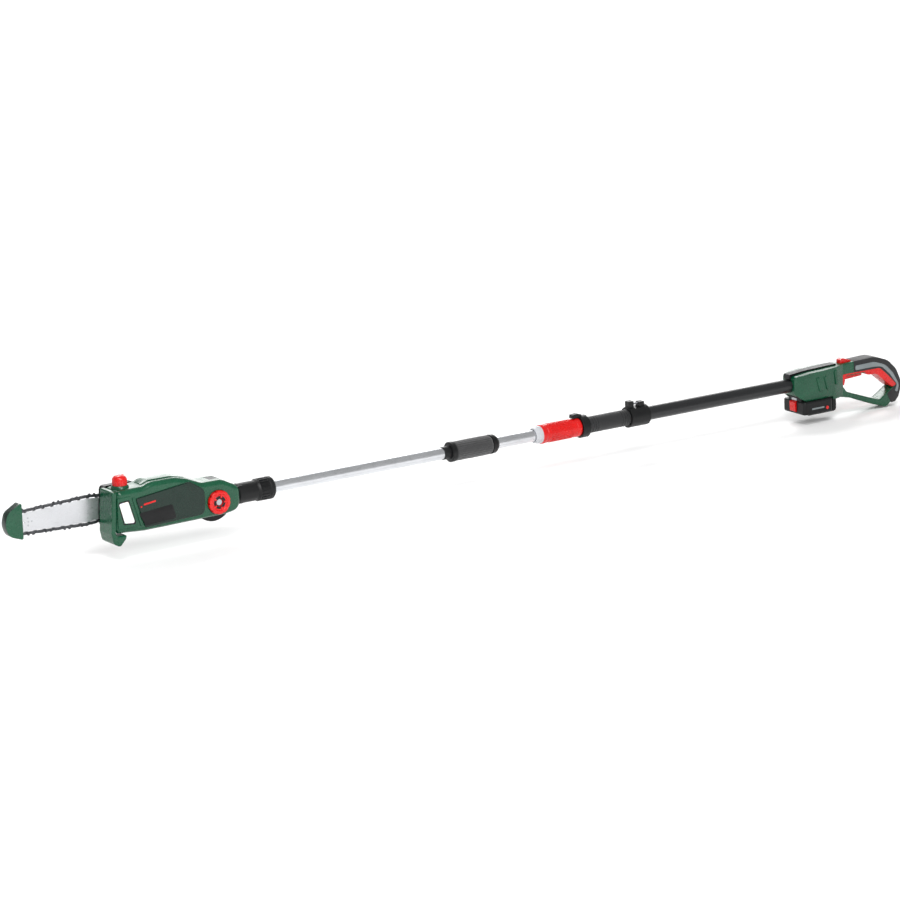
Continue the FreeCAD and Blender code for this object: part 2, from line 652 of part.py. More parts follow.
def headShells(fasteners, panel, bezel):
    """Two shells that meet in the middle plane, with cheeks for the tilt joint at the rear."""
    slotHalf = "discHalf + looseGap"
    disc = cylinder("DiscSlot", "discRadius + 0.6", "2 * (%s)" % slotHalf,
                    ("pivot", "-(%s)" % slotHalf, "0"), (0, 1, 0))
    fork = block("ForkSlot", ("pivot", "pivot + cheekRadius + 5"), ("-(%s)" % slotHalf, slotHalf),
                 ("-60", "60"))
    leadWay = block("LeadWay", ("pivot - 55", "pivot - 30"), ("-3.4", "3.4"), ("11", "18"))
    neckHole = cylinder("NeckHole", "capRadius - 4.8", "30", ("pivot - 192", "-2", "40"), (0, 0, 1))
    well = cylinder("ButtonWell", "buttonRadius + 0.5", "buttonWell + 2",
                    ("pivot", "-headNear - 2", "0"), (0, 1, 0))
    sleeveWay = cylinder("SleeveWay", "axleRadius + 5", "headNear", ("pivot", "-headNear", "0"), (0, 1, 0))
    axleWay = cylinder("AxleWay", "4", "headFar + 2", ("pivot", "0", "0"), (0, 1, 0))
    nutWay = cylinder("NutWay", "8", "20", ("pivot", "headFar - 5", "0"), (0, 1, 0))
    spindleWay = cylinder("SpindleWay", "5.5", "headFar + 20", ("spindle", "10", "barRise"), (0, 1, 0))
    studWay = cylinder("StudWay", "4", "headFar + 20", ("spindle - 34", "10", "barRise"), (0, 1, 0))

    left = newBody("HeadLeft")
    pad(left, "Y", "-headNear", "0", HEAD_OUTLINE)
    soften(left, "headRound", onPlane("Y", "-headNear"))
    pocket(left, "Y", "headWall - headNear", "0", HEAD_HOLLOW)
    for x, z in HEAD_SCREWS:
        pad(left, "Y", "headWall - headNear - 0.5", "0", rectangle(x + " - 4", x + " + 4", z + " - 4", z + " + 4"))
    windowWay = newBody("WindowWay")
    pad(windowWay, "Y", "-headNear - 3", "-headNear + 8", WINDOW)
    keep(cut("HeadLeft", left, disc, fork, leadWay, neckHole, well, sleeveWay, fasteners, panel, bezel,
             windowWay), "head_shell_left")

    right = newBody("HeadRight")
    pad(right, "Y", "0", "headFar", HEAD_OUTLINE)
    soften(right, "headRound - 3", onPlane("Y", "headFar"))
    pocket(right, "Y", "0", "headFar - headWall", HEAD_HOLLOW)
    for x, z in HEAD_SCREWS:
        pad(right, "Y", "0", "headFar - headWall + 0.5", rectangle(x + " - 4", x + " + 4", z + " - 4", z + " + 4"))
    pad(right, "Y", "headFar - 2", "barPlane - barThickness / 2",
        rectangle("spindle - 50", "spindle - 26", "barRise - 8", "barRise + 8", "3"))
    recesses = [cylinder("ScrewWay%d" % i, "3.6", "4", (x, "headFar - 2", z), (0, 1, 0))
                for i, (x, z) in enumerate(HEAD_SCREWS)]
    keep(cut("HeadRight", right, disc, fork, leadWay, neckHole, axleWay, nutWay, spindleWay, studWay,
             fasteners, *recesses), "head_shell_right")


def sidePanel():
    body = newBody("Panel")
    pad(body, "Y", "-headNear - 2", "-headNear + 1.5", PANEL)
    soften(body, "1", onPlane("Y", "-headNear - 2"))
    return keep(body, "side_panel")


def windowBezel():
    body = newBody("Bezel")
    pad(body, "Y", "-headNear - 1", "headWall - headNear", BEZEL, WINDOW)
    return keep(body, "window_bezel")


def oilTank():
    """Translucent tank whose side shows in the window, with its filler neck."""
    body = newBody("Tank")
    near = "-headNear + headWall + 0.2"
    outline = [("plateFace + 5.5", "-17"), ("plateFace + 11.5", "48"), ("pivot - 177", "48"),
               ("pivot - 177", "-17")]
    pad(body, "Y", near, "9", outline)
    pad(body, "Y", "-headNear - 1.6", near + " + 0.5", WINDOW)
    hollow = [("plateFace + 7.5", "-15"), ("plateFace + 13.2", "46"), ("pivot - 179", "46"),
              ("pivot - 179", "-15")]
    doc.recompute()
    inside = newBody("TankInside")
    pad(inside, "Y", near + " + 1.8", "7.2", hollow)
    neck = cylinder("Neck", "capRadius - 6", "20", ("pivot - 192", "-2", "46"), (0, 0, 1))
    whole = doc.addObject("Part::Fuse", "TankWithNeck")
    whole.Base = body
    whole.Tool = neck
    neckWay = cylinder("NeckWay", "capRadius - 8", "30", ("pivot - 192", "-2", "44"), (0, 0, 1))
    keep(cut("TankDone", whole, inside, neckWay), "oil_tank")


def oilCap():
    """Red cap that screws onto the filler neck."""
    inner = "capRadius - 6 + looseGap"
    profile = [("57.5", inner), ("57.5", "capRadius"), ("76", "capRadius", "2"),
               ("80", "capRadius - 4"), ("80", "0"), ("67", "0"), ("67", inner)]
    keep(turned("OilCap", profile, ("pivot - 192", "-2", "0"), (0, 0, 1)), "oil_cap")


def frontGuard():
    """Front plate with the branch hook under it."""
    outline = [("plateFace - 8", "-25", "10"), ("plateFace - 2", "55", "3"),
               ("plateFace + 5.7", "55"), ("plateFace - 0.3", "-24"), ("plateFace + 3", "-30"),
               ("plateFace + 24", "-30", "2"), ("plateFace + 22", "-37", "5"),
               ("plateFace + 9", "-51", "6"), ("plateFace - 4", "-44", "9")]
    body = newBody("FrontGuard")
    pad(body, "Y", "-headNear + 3", "headFar - 1", outline)
    soften(body, "3", onPlane("Y", "-headNear + 3", ("plateFace - 10", "plateFace - 1")))
    keep(body, "front_guard")


# ---------------------------------------------------------------- bar and chain
def chainPath(shrink):
    """Closed path round sprocket, belly and nose, from circles whose radii shrink alike."""
    rise = value("barRise")
    circles = [(value("spindle"), value("sprocketPitchRadius") - shrink),
               (value("pivot - bellyReach"), value("bellyPitchRadius") - shrink),
               (value("pivot - noseReach"), value("nosePitchRadius") - shrink)]

    def at(circle, angle, side):
        x, radius = circle
        return Vector(x + radius * math.cos(angle), 0, rise + side * radius * math.sin(angle))

    leans = []
    for (x1, r1), (x2, r2) in zip(circles, circles[1:]):
        leans.append(math.pi / 2 - math.asin((r2 - r1) / (x1 - x2)))
    first, second = leans
    turn = [(circles[0], first, circles[1]), (circles[1], second, circles[2])]
    edges = []
    tail = Part.Arc(at(circles[0], first, -1), at(circles[0], 0, 1), at(circles[0], first, 1))
    edges.append(tail.toShape())
    for side in (1, -1):
        path = [Part.LineSegment(at(one, lean, side), at(two, lean, side)).toShape()
                for one, lean, two in turn]
        middle = (first + second) / 2
        belly = Part.Arc(at(circles[1], first, side), at(circles[1], middle, side),
                         at(circles[1], second, side))
        edges += [path[0], belly.toShape(), path[1]]
    tip = Part.Arc(at(circles[2], second, 1), at(circles[2], math.pi, 1), at(circles[2], second, -1))
    edges.append(tip.toShape())
    return Part.Wire(Part.__sortEdges__(edges))


def plateAt(face, middle, thickness):
    """Extrude a flat face in the XZ plane to both sides of a plane across Y."""
    plate = face.extrude(Vector(0, thickness, 0))
    plate.translate(Vector(0, middle - thickness / 2, 0))
    return plate


def guideBar():
    """Laminated bar: two cheeks with a smaller core between them, which leaves the groove."""
    middle, thickness = value("barPlane"), value("barThickness")
    groove, depth = value("grooveWidth"), value("grooveDepth")
    seat = value("barSeat")
    whole = plateAt(Part.Face(chainPath(seat)), middle, thickness)
    notch = plateAt(Part.Face(chainPath(seat)), middle, groove)
    core = plateAt(Part.Face(chainPath(seat + depth)), middle, groove)
    bar = whole.cut(notch).fuse(core).removeSplitter()
    tailBox = Part.makeBox(100, 40, 120, Vector(value("spindle - 22"), middle - 20, value("barRise") - 60))
    slot = Part.makeBox(14, 40, 8, Vector(value("spindle - 44"), middle - 20, value("barRise") - 4))
    bar = bar.cut(tailBox).cut(slot)
    screw = Part.makeCylinder(1.6, 40, Vector(value("pivot - noseReach"), middle - 20, value("barRise")),
                              Vector(0, 1, 0))
    item = doc.addObject("Part::Feature", "GuideBar")
    item.Shape = bar.cut(screw)
    keep(item, "guide_bar")


def chainLink(kind, pitch):
    """Face of one link in the XZ plane: rivets on the X axis, cutting side towards +Z."""
    half = pitch / 2
    straps = [(-half - 3.2, -2), (-half - 3.2, 1.6), (-half - 1, 2.8), (half + 1, 2.8),
              (half + 3.2, 1.6), (half + 3.2, -2), (half + 1.5, -2.8), (-half - 1.5, -2.8)]
    cutter = [(-half - 3.2, -2), (-half - 3.2, 2.6), (-half - 2, 4.5), (-half + 1.4, 4.5),
              (-half + 2.2, 1.4), (1, 1.6), (half - 1.5, 4.4), (half + 2.6, 4), (half + 3.2, 1.6),
              (half + 3.2, -2), (half + 1.5, -2.8), (-half - 1.5, -2.8)]
    drive = [(-half - 3, 1.8), (-half + 1, 2.6), (half - 1, 2.6), (half + 3, 1.8), (half + 3, -2),
             (2.6, -3.4), (1.2, -8.4), (-1.6, -8.8), (-2.8, -3.4), (-half - 3, -2)]
    points = {"strap": straps, "cutter": cutter, "drive": drive}[kind]
    corners = [Vector(x, 0, z) for x, z in points]
    return Part.Face(Part.makePolygon(corners + corners[:1]))


def sawChain():
    """Drive links in the bar's groove, and pairs of side links, with a cutter at every second."""
    path = chainPath(0)
    pairs = 2 * round(path.Length / 9.525 / 2)
    pitch = path.Length / pairs
    rivets = path.discretize(Distance=pitch)[:pairs]
    plane, gauge, side = value("barPlane"), value("chainGauge"), value("strapThickness")
    solids = []
    for i, start in enumerate(rivets):
        end = rivets[(i + 1) % pairs]
        span = end - start
        angle = math.degrees(math.atan2(-span.z, span.x))
        inwards = Vector(0, 1, 0).cross(span)
        centre = Vector(value("pivot - bellyReach"), 0, value("barRise"))
        outside = 1 if inwards.dot(centre - start) > 0 else -1
        turn = Rotation(Vector(0, 1, 0), angle)
        if i % 2 == 0:
            layers = [("drive", 0, gauge)]
        else:
            offset = gauge / 2 + 0.05 + side / 2
            kinds = ("cutter", "strap") if i % 8 == 1 else ("strap", "cutter") if i % 8 == 5 \
                else ("strap", "strap")
            layers = [(kinds[0], -offset, side), (kinds[1], offset, side)]
        for kind, shift, thickness in layers:
            link = plateAt(chainLink(kind, span.Length), plane + shift, thickness)
            if outside < 0:
                link.rotate(Vector(0, 0, 0), Vector(1, 0, 0), 180)
                link.translate(Vector(0, 2 * (plane + shift), 0))
            link.Placement = FreeCAD.Placement(start + span * 0.5, turn).multiply(link.Placement)
            solids.append(link)
    item = doc.addObject("Part::Feature", "SawChain")
    item.Shape = Part.makeCompound(solids)
    keep(item, "saw_chain")


def tipGuard():
    """Hollow guard over the bar's nose, open towards the chain's runs, on a peg through the bar."""
    body = newBody("TipGuard")
    tip = "pivot - noseReach"
    outline = [(tip + " - 6", "57", "4"), (tip + " - 36", "40", "20"), (tip + " - 44", "18", "30"),
               (tip + " - 35", "-4", "20"), (tip + " - 6", "-17", "4")]
    hollow = [(tip + " - 5", "51"), (tip + " - 27", "40", "10"), (tip + " - 39", "24", "10"),
              (tip + " - 39", "10", "10"), (tip + " - 27", "-4", "10"), (tip + " - 5", "-12")]
    pad(body, "Y", "barPlane - 8.5", "barPlane + 8.5", outline)
    soften(body, "2.5", onPlane("Y", "barPlane - 8.5"))
    soften(body, "2.5", onPlane("Y", "barPlane + 8.5"))
    pocket(body, "Y", "barPlane - 5.5", "barPlane + 5.5", hollow)
    tab = rectangle(tip + " - 9", tip + " + 6", "barRise - 6", "barRise + 6", "2")
    pad(body, "Y", "barPlane - 8", "barPlane - barThickness / 2", tab)
    pad(body, "Y", "barPlane + barThickness / 2", "barPlane + 8", tab)
    peg = cylinder("GuardPeg", "1.5", "8", (tip, "barPlane - 4", "barRise"), (0, 1, 0))
    whole = doc.addObject("Part::Fuse", "TipGuardDone")
    whole.Base = body
    whole.Tool = peg
    keep(whole, "tip_guard")


def sprocketCover():
    """Black cover over the sprocket and the bar's tail, held by the knob on its stud."""
    body = newBody("SprocketCover")
    outline = [("plateFace - 2", "-21", "9"), ("plateFace + 3", "57", "9"), ("spindle + 10", "57", "20"),
               ("spindle + 33", "38", "20"), ("spindle + 33", "-8", "20"), ("spindle + 8", "-21", "20")]
    hollow = [("plateFace", "-19"), ("plateFace + 5", "55"), ("spindle + 9", "55"),
              ("spindle + 30.8", "37"), ("spindle + 30.8", "-7"), ("spindle + 7", "-19")]
    face = "headFar + 17"
    pad(body, "Y", "headFar", face, outline)
    soften(body, "4", onPlane("Y", face))
    pocket(body, "Y", "headFar", face + " - 2", hollow)
    mouth = block("CoverMouth", ("plateFace - 12", "plateFace + 8"), ("headFar - 1", "barPlane + 6"),
                  ("barRise - 34", "barRise + 34"))
    pad(body, "Y", "barPlane + barThickness / 2", face + " - 1",
        rectangle("spindle - 42", "spindle - 26", "barRise - 8", "barRise + 8", "3"))
    studWay = cylinder("CoverStudWay", "4", "60", ("spindle - 34", "0", "barRise"), (0, 1, 0))
    keep(cut("SprocketCoverDone", body, mouth, studWay), "sprocket_cover")
    stud = turned("BarStud", [("headFar - headWall - 4", "0"), ("headFar - headWall - 4", "7"),
                              ("headFar - headWall", "7"), ("headFar - headWall", "4"),
                              (face + " + 6", "4"), (face + " + 6", "0")],
                  ("spindle - 34", "0", "barRise"), (0, 1, 0))
    keep(stud, "bar_stud")
    knob = turned("CoverKnob", [(face + " + 0.4", "4.1"), (face + " + 0.4", "17"), (face + " + 9", "16"),
                                (face + " + 11", "13"), (face + " + 11", "0"), (face + " + 7", "0"),
                                (face + " + 7", "4.1")],
                  ("spindle - 34", "0", "barRise"), (0, 1, 0))
    keep(knob, "cover_knob")


# ---------------------------------------------------------------- drive
def gear(name, teeth, start, end, x, bore, turn):
    """Involute spur gear across Y, with a bore."""
    builder = fcgear.FCWireBuilder()
    involute.CreateExternalGear(builder, value("gearModule"), teeth, 20, True)
    outline = Part.Wire([edge.toShape() for edge in builder.wire])
    disc = Part.Face(outline).extrude(Vector(0, 0, value(end) - value(start)))
    hole = Part.makeCylinder(value(bore), 100, Vector(0, 0, -50))
    disc = disc.cut(hole)
    item = doc.addObject("Part::Feature", name)
    item.Shape = disc
    across = Rotation(Vector(1, 0, 0), 90).multiply(Rotation(Vector(0, 0, 1), turn))
    item.Placement = FreeCAD.Placement(Vector(value(x), value(end), value("barRise")), across)
    return item


def drive():
    """Motor, pinion, large gear, spindle, sprocket and the plate that carries them."""
    at = ("motor", "0", "barRise")
    can = [("5 - headNear", "2"), ("5 - headNear", "motorRadius - 2"), ("7 - headNear", "motorRadius"),
           ("6", "motorRadius"), ("6", "6"), ("4", "6"), ("4", "motorRadius - 1.6"),
           ("8 - headNear", "motorRadius - 1.6"), ("8 - headNear", "2")]
    keep(turned("MotorCan", can, at, (0, 1, 0)), "motor_can")
    shaft = "1.6"
    core = "motorRadius - 2.4"
    rotor = [("7 - headNear", "0"), ("7 - headNear", shaft), ("12 - headNear", shaft), ("12 - headNear", core),
             ("1", core), ("1", shaft), ("16.5", shaft), ("16.5", "0")]
    keep(turned("Rotor", rotor, at, (0, 1, 0)), "motor_rotor")
    half = 180 / value("pinionTeeth")
    keep(gear("Pinion", int(value("pinionTeeth")), "10.8", "16.5", "motor", "1.6", half), "motor_pinion")
    keep(gear("LargeGear", int(value("gearTeeth")), "11.2", "16", "spindle", "5", 0), "drive_gear")

    plate = newBody("GearPlate")
    pad(plate, "Y", "6", "8.4", [("spindle - 12", "4"), ("spindle - 12", "29"), ("motor + 16", "32"),
                                 ("motor + 16", "1")])
    spindleWay = cylinder("PlateSpindleWay", "5 + runGap", "20", ("spindle", "0", "barRise"), (0, 1, 0))
    shaftWay = cylinder("PlateShaftWay", "3", "20", ("motor", "0", "barRise"), (0, 1, 0))
    keep(cut("GearPlateDone", plate, spindleWay, shaftWay), "gearbox_plate")
    at = ("spindle", "0", "barRise")
    shaft = [("3.5", "0"), ("3.5", "5"), ("barPlane + 8.6", "5"), ("barPlane + 8.6", "0")]
    keep(turned("Spindle", shaft, at, (0, 1, 0)), "sprocket_spindle")

    star = newBody("Sprocket")
    points = []
    for tooth in range(6):
        for step, size in ((-12, 7.2), (-5, 7), (5, 7), (12, 7.2), (22, 8.5), (38, 8.5)):
            angle = math.radians(60 * tooth + step)
            points.append(("%.3f" % (size * math.cos(angle)), "%.3f" % (size * math.sin(angle))))
    pad(star, "Y", "barPlane - 2.4", "barPlane + 2.4", points)
    for start, end in (("barPlane - 3.6", "barPlane - 2.4"), ("barPlane + 2.4", "barPlane + 3.6")):
        flats = [("%.3f" % (13.5 * math.cos(math.radians(a))), "%.3f" % (13.5 * math.sin(math.radians(a))))
                 for a in range(0, 360, 15)]
        pad(star, "Y", start, end, flats)
    move(star, *at)
    bore = cylinder("SprocketBore", "5", "60", ("spindle", "0", "barRise"), (0, 1, 0))
    keep(cut("SprocketDone", star, bore), "drive_sprocket")


# ---------------------------------------------------------------- handle
LOOP_OUTER = [
    ("nose + 120", "27"), ("nose + 164", "29"), ("nose + 166", "20.5"),
    ("nose + 213", "21.5", "55"), ("nose + 243", "11", "30"), ("nose + 263", "-8", "30"),
    ("nose + 280", "-36", "16"), ("nose + 266", "-66", "9"), ("nose + 247", "-83", "14"),
    ("nose + 205", "-68.5", "60"), ("nose + 150", "-47", "30"), ("nose + 120", "-40")]
LOOP_HOLE = [
    ("nose + 131", "-17"), ("nose + 134.5", "1", "4"), ("nose + 228", "-0.5", "14"),
    ("nose + 249", "-18", "25"), ("nose + 270", "-39"), ("nose + 228", "-64", "9"),
    ("nose + 142", "-31", "8")]
GRIP_BAND = [
    ("nose + 164.5", "30", "4"), ("nose + 216", "31", "60"), ("nose + 251", "18.5", "40"),
    ("nose + 273", "-3", "40"), ("nose + 290", "-36", "25"), ("nose + 279", "-64", "14"),
    ("nose + 270", "-73", "2"), ("nose + 266.5", "-66", "2"), ("nose + 280.2", "-36", "16"),
    ("nose + 263.2", "-7.8", "30"), ("nose + 243.2", "11.2", "30"), ("nose + 213", "21.7", "55"),
    ("nose + 166.2", "20.7")]
LINER_BAND = [
    ("nose + 131.2", "-17"), ("nose + 134.7", "0.8", "4"), ("nose + 228", "-0.7", "14"),
    ("nose + 249", "-18.3", "25"), ("nose + 269.6", "-39.2"), ("nose + 262.5", "-40.5", "2"),
    ("nose + 242", "-24", "25"), ("nose + 222", "-7", "14"), ("nose + 138.5", "-5", "4"),
    ("nose + 134.5", "-17.5", "1.5")]
HANDLE_BODY = [
    ("nose", "-tubeRadius - 3", "8"), ("nose", "tubeRadius + 7", "8"), ("nose + 38", "tubeRadius + 11", "40"),
    ("nose + 130", "tubeRadius + 13.9"), ("nose + 130", "-batteryTop - 7"),
    ("nose + 97", "-batteryTop - 7"), ("nose + 97", "0.4 - batteryTop"),
    ("nose + 22", "0.4 - batteryTop", "10")]
HANDLE_SCREWS = [("nose + 12", "tubeRadius + 3.5"), ("nose + 50", "-tubeRadius - 3.6"), ("nose + 131", "-34"),
                 ("nose + 205", "-61.5"), ("nose + 254", "-64"), ("nose + 233", "6")]


def handleScrews():
    """Case screws across the handle, and the two that hold the bow from below."""
    across = [(x, "loopHalf - 2", z) for x, z in HANDLE_SCREWS]
    below = [("nose + 103.5", "%d" % side, "-footTop + 3") for side in (-12, 12)]
    size = ("screwRadius", "loopHalf + 9", "3.6", "2.5")
    pair = [screws("CaseScrews", across, *size, (0, -1, 0)), screws("BowScrews", below, *size, (0, 0, 1))]
    return keep(group("HandleScrews", pair), "handle_screws")


def handleShells(fasteners):
    """Two shells that make the body over the battery and the closed loop behind it."""
    tube = cylinder("TubeSeat", "tubeRadius", "80", ("nose - 20", "0", "0"), (1, 0, 0))
    dock = block("BatteryDock", ("nose - 5", "batteryTail + 1"), ("-neckHalf - 0.4", "neckHalf + 0.4"),
                 ("-batteryTop - 17", "0.4 - batteryNeck"))
    contacts = block("ContactSeat", ("batteryTail + 1", "batteryTail + 9"), ("-14", "14"),
                     ("-batteryTop - 7", "3.5 - batteryNeck"))
    triggerSlot = block("TriggerSlot", ("nose + 139", "nose + 191"), ("-triggerHalf - 0.5", "triggerHalf + 0.5"),
                        ("-12", "19"))
    lockSlot = block("LockOffSlot", ("nose + 130.5", "nose + 160.5"), ("-6.5", "6.5"), ("10", "40"))
    pinWay = cylinder("TrunnionWay", "1.5 + runGap", "24", ("nose + 144", "-12", "8"), (0, 1, 0))
    wedges = {}
    for name, out in (("WedgeLeft", "-1"), ("WedgeRight", "1")):
        wedges[int(out)] = newBody(name)
        pad(wedges[int(out)], "Z", "-60", "60",
            [("nose + 70", out + " * bodyHalf"), ("nose + 104", out + " * (bodyHalf - 4)"),
             ("nose + 131", out + " * (loopHalf + 0.2)"), ("nose + 140", out + " * (loopHalf + 0.2)"),
             ("nose + 140", out + " * (bodyHalf + 2)"), ("nose + 70", out + " * (bodyHalf + 2)")])
    for name, side in (("HandleLeft", -1), ("HandleRight", 1)):
        body = newBody(name)
        reach = {-1: ("-bodyHalf", "0"), 1: ("0", "bodyHalf")}[side]
        loop = {-1: ("-loopHalf", "0"), 1: ("0", "loopHalf")}[side]
        hollow = {-1: ("-boardHalf - 1", "0"), 1: ("0", "boardHalf + 1")}[side]
        way = {-1: ("handleWall - loopHalf", "0"), 1: ("0", "loopHalf - handleWall")}[side]
        pad(body, "Y", *reach, HANDLE_BODY)
        soften(body, "bodyRound", onPlane("Y", reach[0] if side < 0 else reach[1]))
        pad(body, "Y", *loop, LOOP_OUTER, LOOP_HOLE)
        pocket(body, "Y", *hollow, [("nose + 62", "21"), ("nose + 112", "22"), ("nose + 112", "-18"),
                                    ("nose + 62", "-18")])
        pocket(body, "Y", *way, [("nose + 127", "3.5"), ("nose + 127", "18.5"), ("nose + 215", "19"),
                                 ("nose + 222", "15"), ("nose + 222", "3.5")])
        tools = [tube, dock, contacts, triggerSlot, lockSlot, pinWay, fasteners, wedges[side]]
        if side > 0:
            tools += [cylinder("HandleScrewWay%d" % i, "3.6", "40", (x, "loopHalf - 2", z), (0, 1, 0))
                      for i, (x, z) in enumerate(HANDLE_SCREWS)]
        keep(cut(name, body, *tools), {-1: "handle_shell_left", 1: "handle_shell_right"}[side])


def handleTrim():
    """Black spine, soft grip and red liner."""
    spine = newBody("Spine")
    pad(spine, "Y", "-9", "9", [("nose - 5", "tubeRadius + 1"), ("nose - 5", "tubeRadius + 11", "2"),
                                ("nose + 38", "tubeRadius + 14.5", "25"),
                                ("nose + 118", "tubeRadius + 16.6", "2"), ("nose + 118", "tubeRadius + 13.55"),
                                ("nose + 38", "tubeRadius + 11.1", "40"), ("nose - 0.1", "tubeRadius + 7.2"),
                                ("nose - 0.1", "tubeRadius + 1")])
    keep(spine, "top_spine")
    grip = newBody("SoftGrip")
    pad(grip, "Y", "-loopHalf", "loopHalf", GRIP_BAND)
    keep(grip, "soft_grip")
    liner = newBody("Liner")
    pad(liner, "Y", "1 - loopHalf", "loopHalf - 1", LINER_BAND)
    slot = block("LinerSlot", ("nose + 139.5", "nose + 190.5"), ("-triggerHalf - 0.5", "triggerHalf + 0.5"),
                 ("-12", "19"))
    keep(cut("LinerDone", liner, slot), "inner_liner")


def handleControls():
    trigger = newBody("Trigger")
    pad(trigger, "Y", "-triggerHalf", "triggerHalf",
        [("nose + 141", "-8", "3"), ("nose + 187", "-5.8", "2"), ("nose + 187", "8"), ("nose + 158", "8"),
         ("nose + 141", "12", "2")])
    trunnion = cylinder("Trunnion", "1.5", "22", ("nose + 144", "-11", "8"), (0, 1, 0))
    whole = doc.addObject("Part::Fuse", "TriggerDone")
    whole.Base = trigger
    whole.Tool = trunnion
    keep(whole, "trigger")
    lock = newBody("LockOff")
    pad(lock, "Y", "-6", "6", [("nose + 131", "21.5"), ("nose + 131", "35", "3"), ("nose + 137", "38", "4"),
                               ("nose + 160", "31", "3"), ("nose + 160", "21.5")])
    keep(lock, "lock_off_button")
    switch = newBody("Switch")
    pad(switch, "Y", "-10", "10", rectangle("nose + 193", "nose + 215", "4", "17.5", "1"))
    keep(switch, "switch_unit")
    board = newBody("Board")
    pad(board, "Y", "-boardHalf", "boardHalf", rectangle("nose + 66", "nose + 110", "-12", "-9"))
    pad(board, "Y", "-12", "12", rectangle("nose + 70", "nose + 86", "-9.5", "6", "1"))
    pad(board, "Y", "-13", "13", rectangle("nose + 92", "nose + 107", "-9.5", "0", "1"))
    keep(board, "controller_board")
    contacts = block("ContactBlock", ("batteryTail + 1", "batteryTail + 9"), ("-14", "14"),
                     ("1 - batteryTop", "3.5 - batteryNeck"))
    keep(contacts, "battery_contacts")


# ---------------------------------------------------------------- battery and bow
def battery():
    middle = "-batteryTop - 11"
    release = block("ReleaseSlot", ("batteryNose - 1", "batteryNose + 6.8"), ("-9.4", "9.4"),
                    ("-batteryTop - 24.4", "0.4 - batteryTop"))
    gauge = cylinder("GaugeWay", "3.7", "5", ("nose + 72", "-batteryHalf - 1", "-batteryTop - 18"), (0, 1, 0))
    lower = newBody("BatteryLower")
    pad(lower, "Z", "-batteryBottom", middle, rectangle("batteryNose", "batteryTail", "-batteryHalf",
                                                        "batteryHalf", "7"))
    soften(lower, "4", onPlane("Z", "-batteryBottom"))
    inner = rectangle("batteryNose + batteryWall + 6", "batteryTail - batteryWall",
                      "batteryWall - batteryHalf", "batteryHalf - batteryWall", "4")
    pocket(lower, "Z", "batteryWall - batteryBottom", middle, inner)
    keep(cut("BatteryLowerDone", lower, release, gauge), "battery_lower_case")
    upper = newBody("BatteryUpper")
    pad(upper, "Z", middle, "-batteryTop", rectangle("batteryNose", "batteryTail", "-batteryHalf",
                                                     "batteryHalf", "7"))
    soften(upper, "3", onPlane("Z", "-batteryTop"))
    pad(upper, "Z", "-batteryTop - 1", "-batteryNeck", rectangle("batteryNose + 2", "batteryTail", "-neckHalf",
                                                                "neckHalf", "4"))
    pocket(upper, "Z", middle, "-batteryTop - batteryWall", inner)
    pocket(upper, "Z", "-batteryTop - batteryWall - 1", "-batteryNeck - batteryWall",
           rectangle("batteryNose + batteryWall + 6", "batteryTail - batteryWall",
                     "batteryWall - neckHalf", "neckHalf - batteryWall"))
    keep(cut("BatteryUpperDone", upper, release), "battery_upper_case")
    cells = []
    for count, (across, height) in enumerate(((-2, 0), (0, 0), (2, 0), (-1, 1.732), (1, 1.732))):
        spot = ("batteryTail - batteryWall - 0.3 - cellLength", "%d * (cellRadius + 0.1)" % across,
                "batteryWall - batteryBottom + cellRadius + 0.2 + %.3f * (cellRadius + 0.1)" % height)
        cells.append(cylinder("Cell%d" % count, "cellRadius", "cellLength", spot, (1, 0, 0)))
    keep(group("Cells", cells), "battery_cells")
    button = newBody("Release")
    pad(button, "Y", "-9", "9", [("batteryNose - 3", "-batteryTop - 22", "2"),
                                 ("batteryNose - 4", "-batteryTop - 2", "2"), ("batteryNose + 3", "-batteryTop"),
                                 ("batteryNose + 3", "-batteryTop - 24")])
    keep(button, "battery_release_button")
    keep(cylinder("Gauge", "3.5", "3", ("nose + 72", "-batteryHalf - 0.8", "-batteryTop - 18"), (0, 1, 0)),
         "charge_level_button")


def bumperBow(fasteners):
    """Bow that guards the battery when the saw is set down."""
    body = newBody("Bow")
    pad(body, "Y", "-bowHalf", "bowHalf",
        [("nose + 99", "-batteryTop - 7"), ("nose + 99", "-footTop"), ("nose + 34", "-footTop"),
         ("nose + 34", "-footTop - bowFoot", "2"), ("nose + 108", "-footTop - bowFoot", "7"),
         ("nose + 108", "-batteryTop - 7")])
    keep(cut("BowDone", body, fasteners), "bumper_bow")


def writeParts():
    doc.recompute()
    for item in doc.Objects:
        if "Invalid" in item.State or "Error" in item.State:
            raise RuntimeError("%s failed: %s" % (item.Label, item.State))
    os.makedirs("parts", exist_ok=True)
    for item in subParts:
        if item.Shape.isNull() or not item.Shape.isValid():
            raise RuntimeError("%s has no valid shape" % item.Label)
        item.Shape.exportStep("parts/%s.step" % item.Label)
    print("%d sub-parts written" % len(subParts))


outerTube()
clampCollet()
lockCollar()
frontGripSleeve()
strapRing()
lockSleeve()
mouthRing()
innerTube()
rearBush()
foamGrip()
poleCable()
knuckle()
socketCollar()
pivotAxle()
tiltButton()
tiltLead()
headShells(headScrews(), sidePanel(), windowBezel())
oilTank()
oilCap()
frontGuard()
guideBar()
sawChain()
tipGuard()
sprocketCover()
drive()
caseScrews = handleScrews()
handleShells(caseScrews)
bumperBow(caseScrews)
handleTrim()
handleControls()
battery()
writeParts()
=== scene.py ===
import json
import math

import bmesh
import bpy
from mathutils import Matrix, Vector


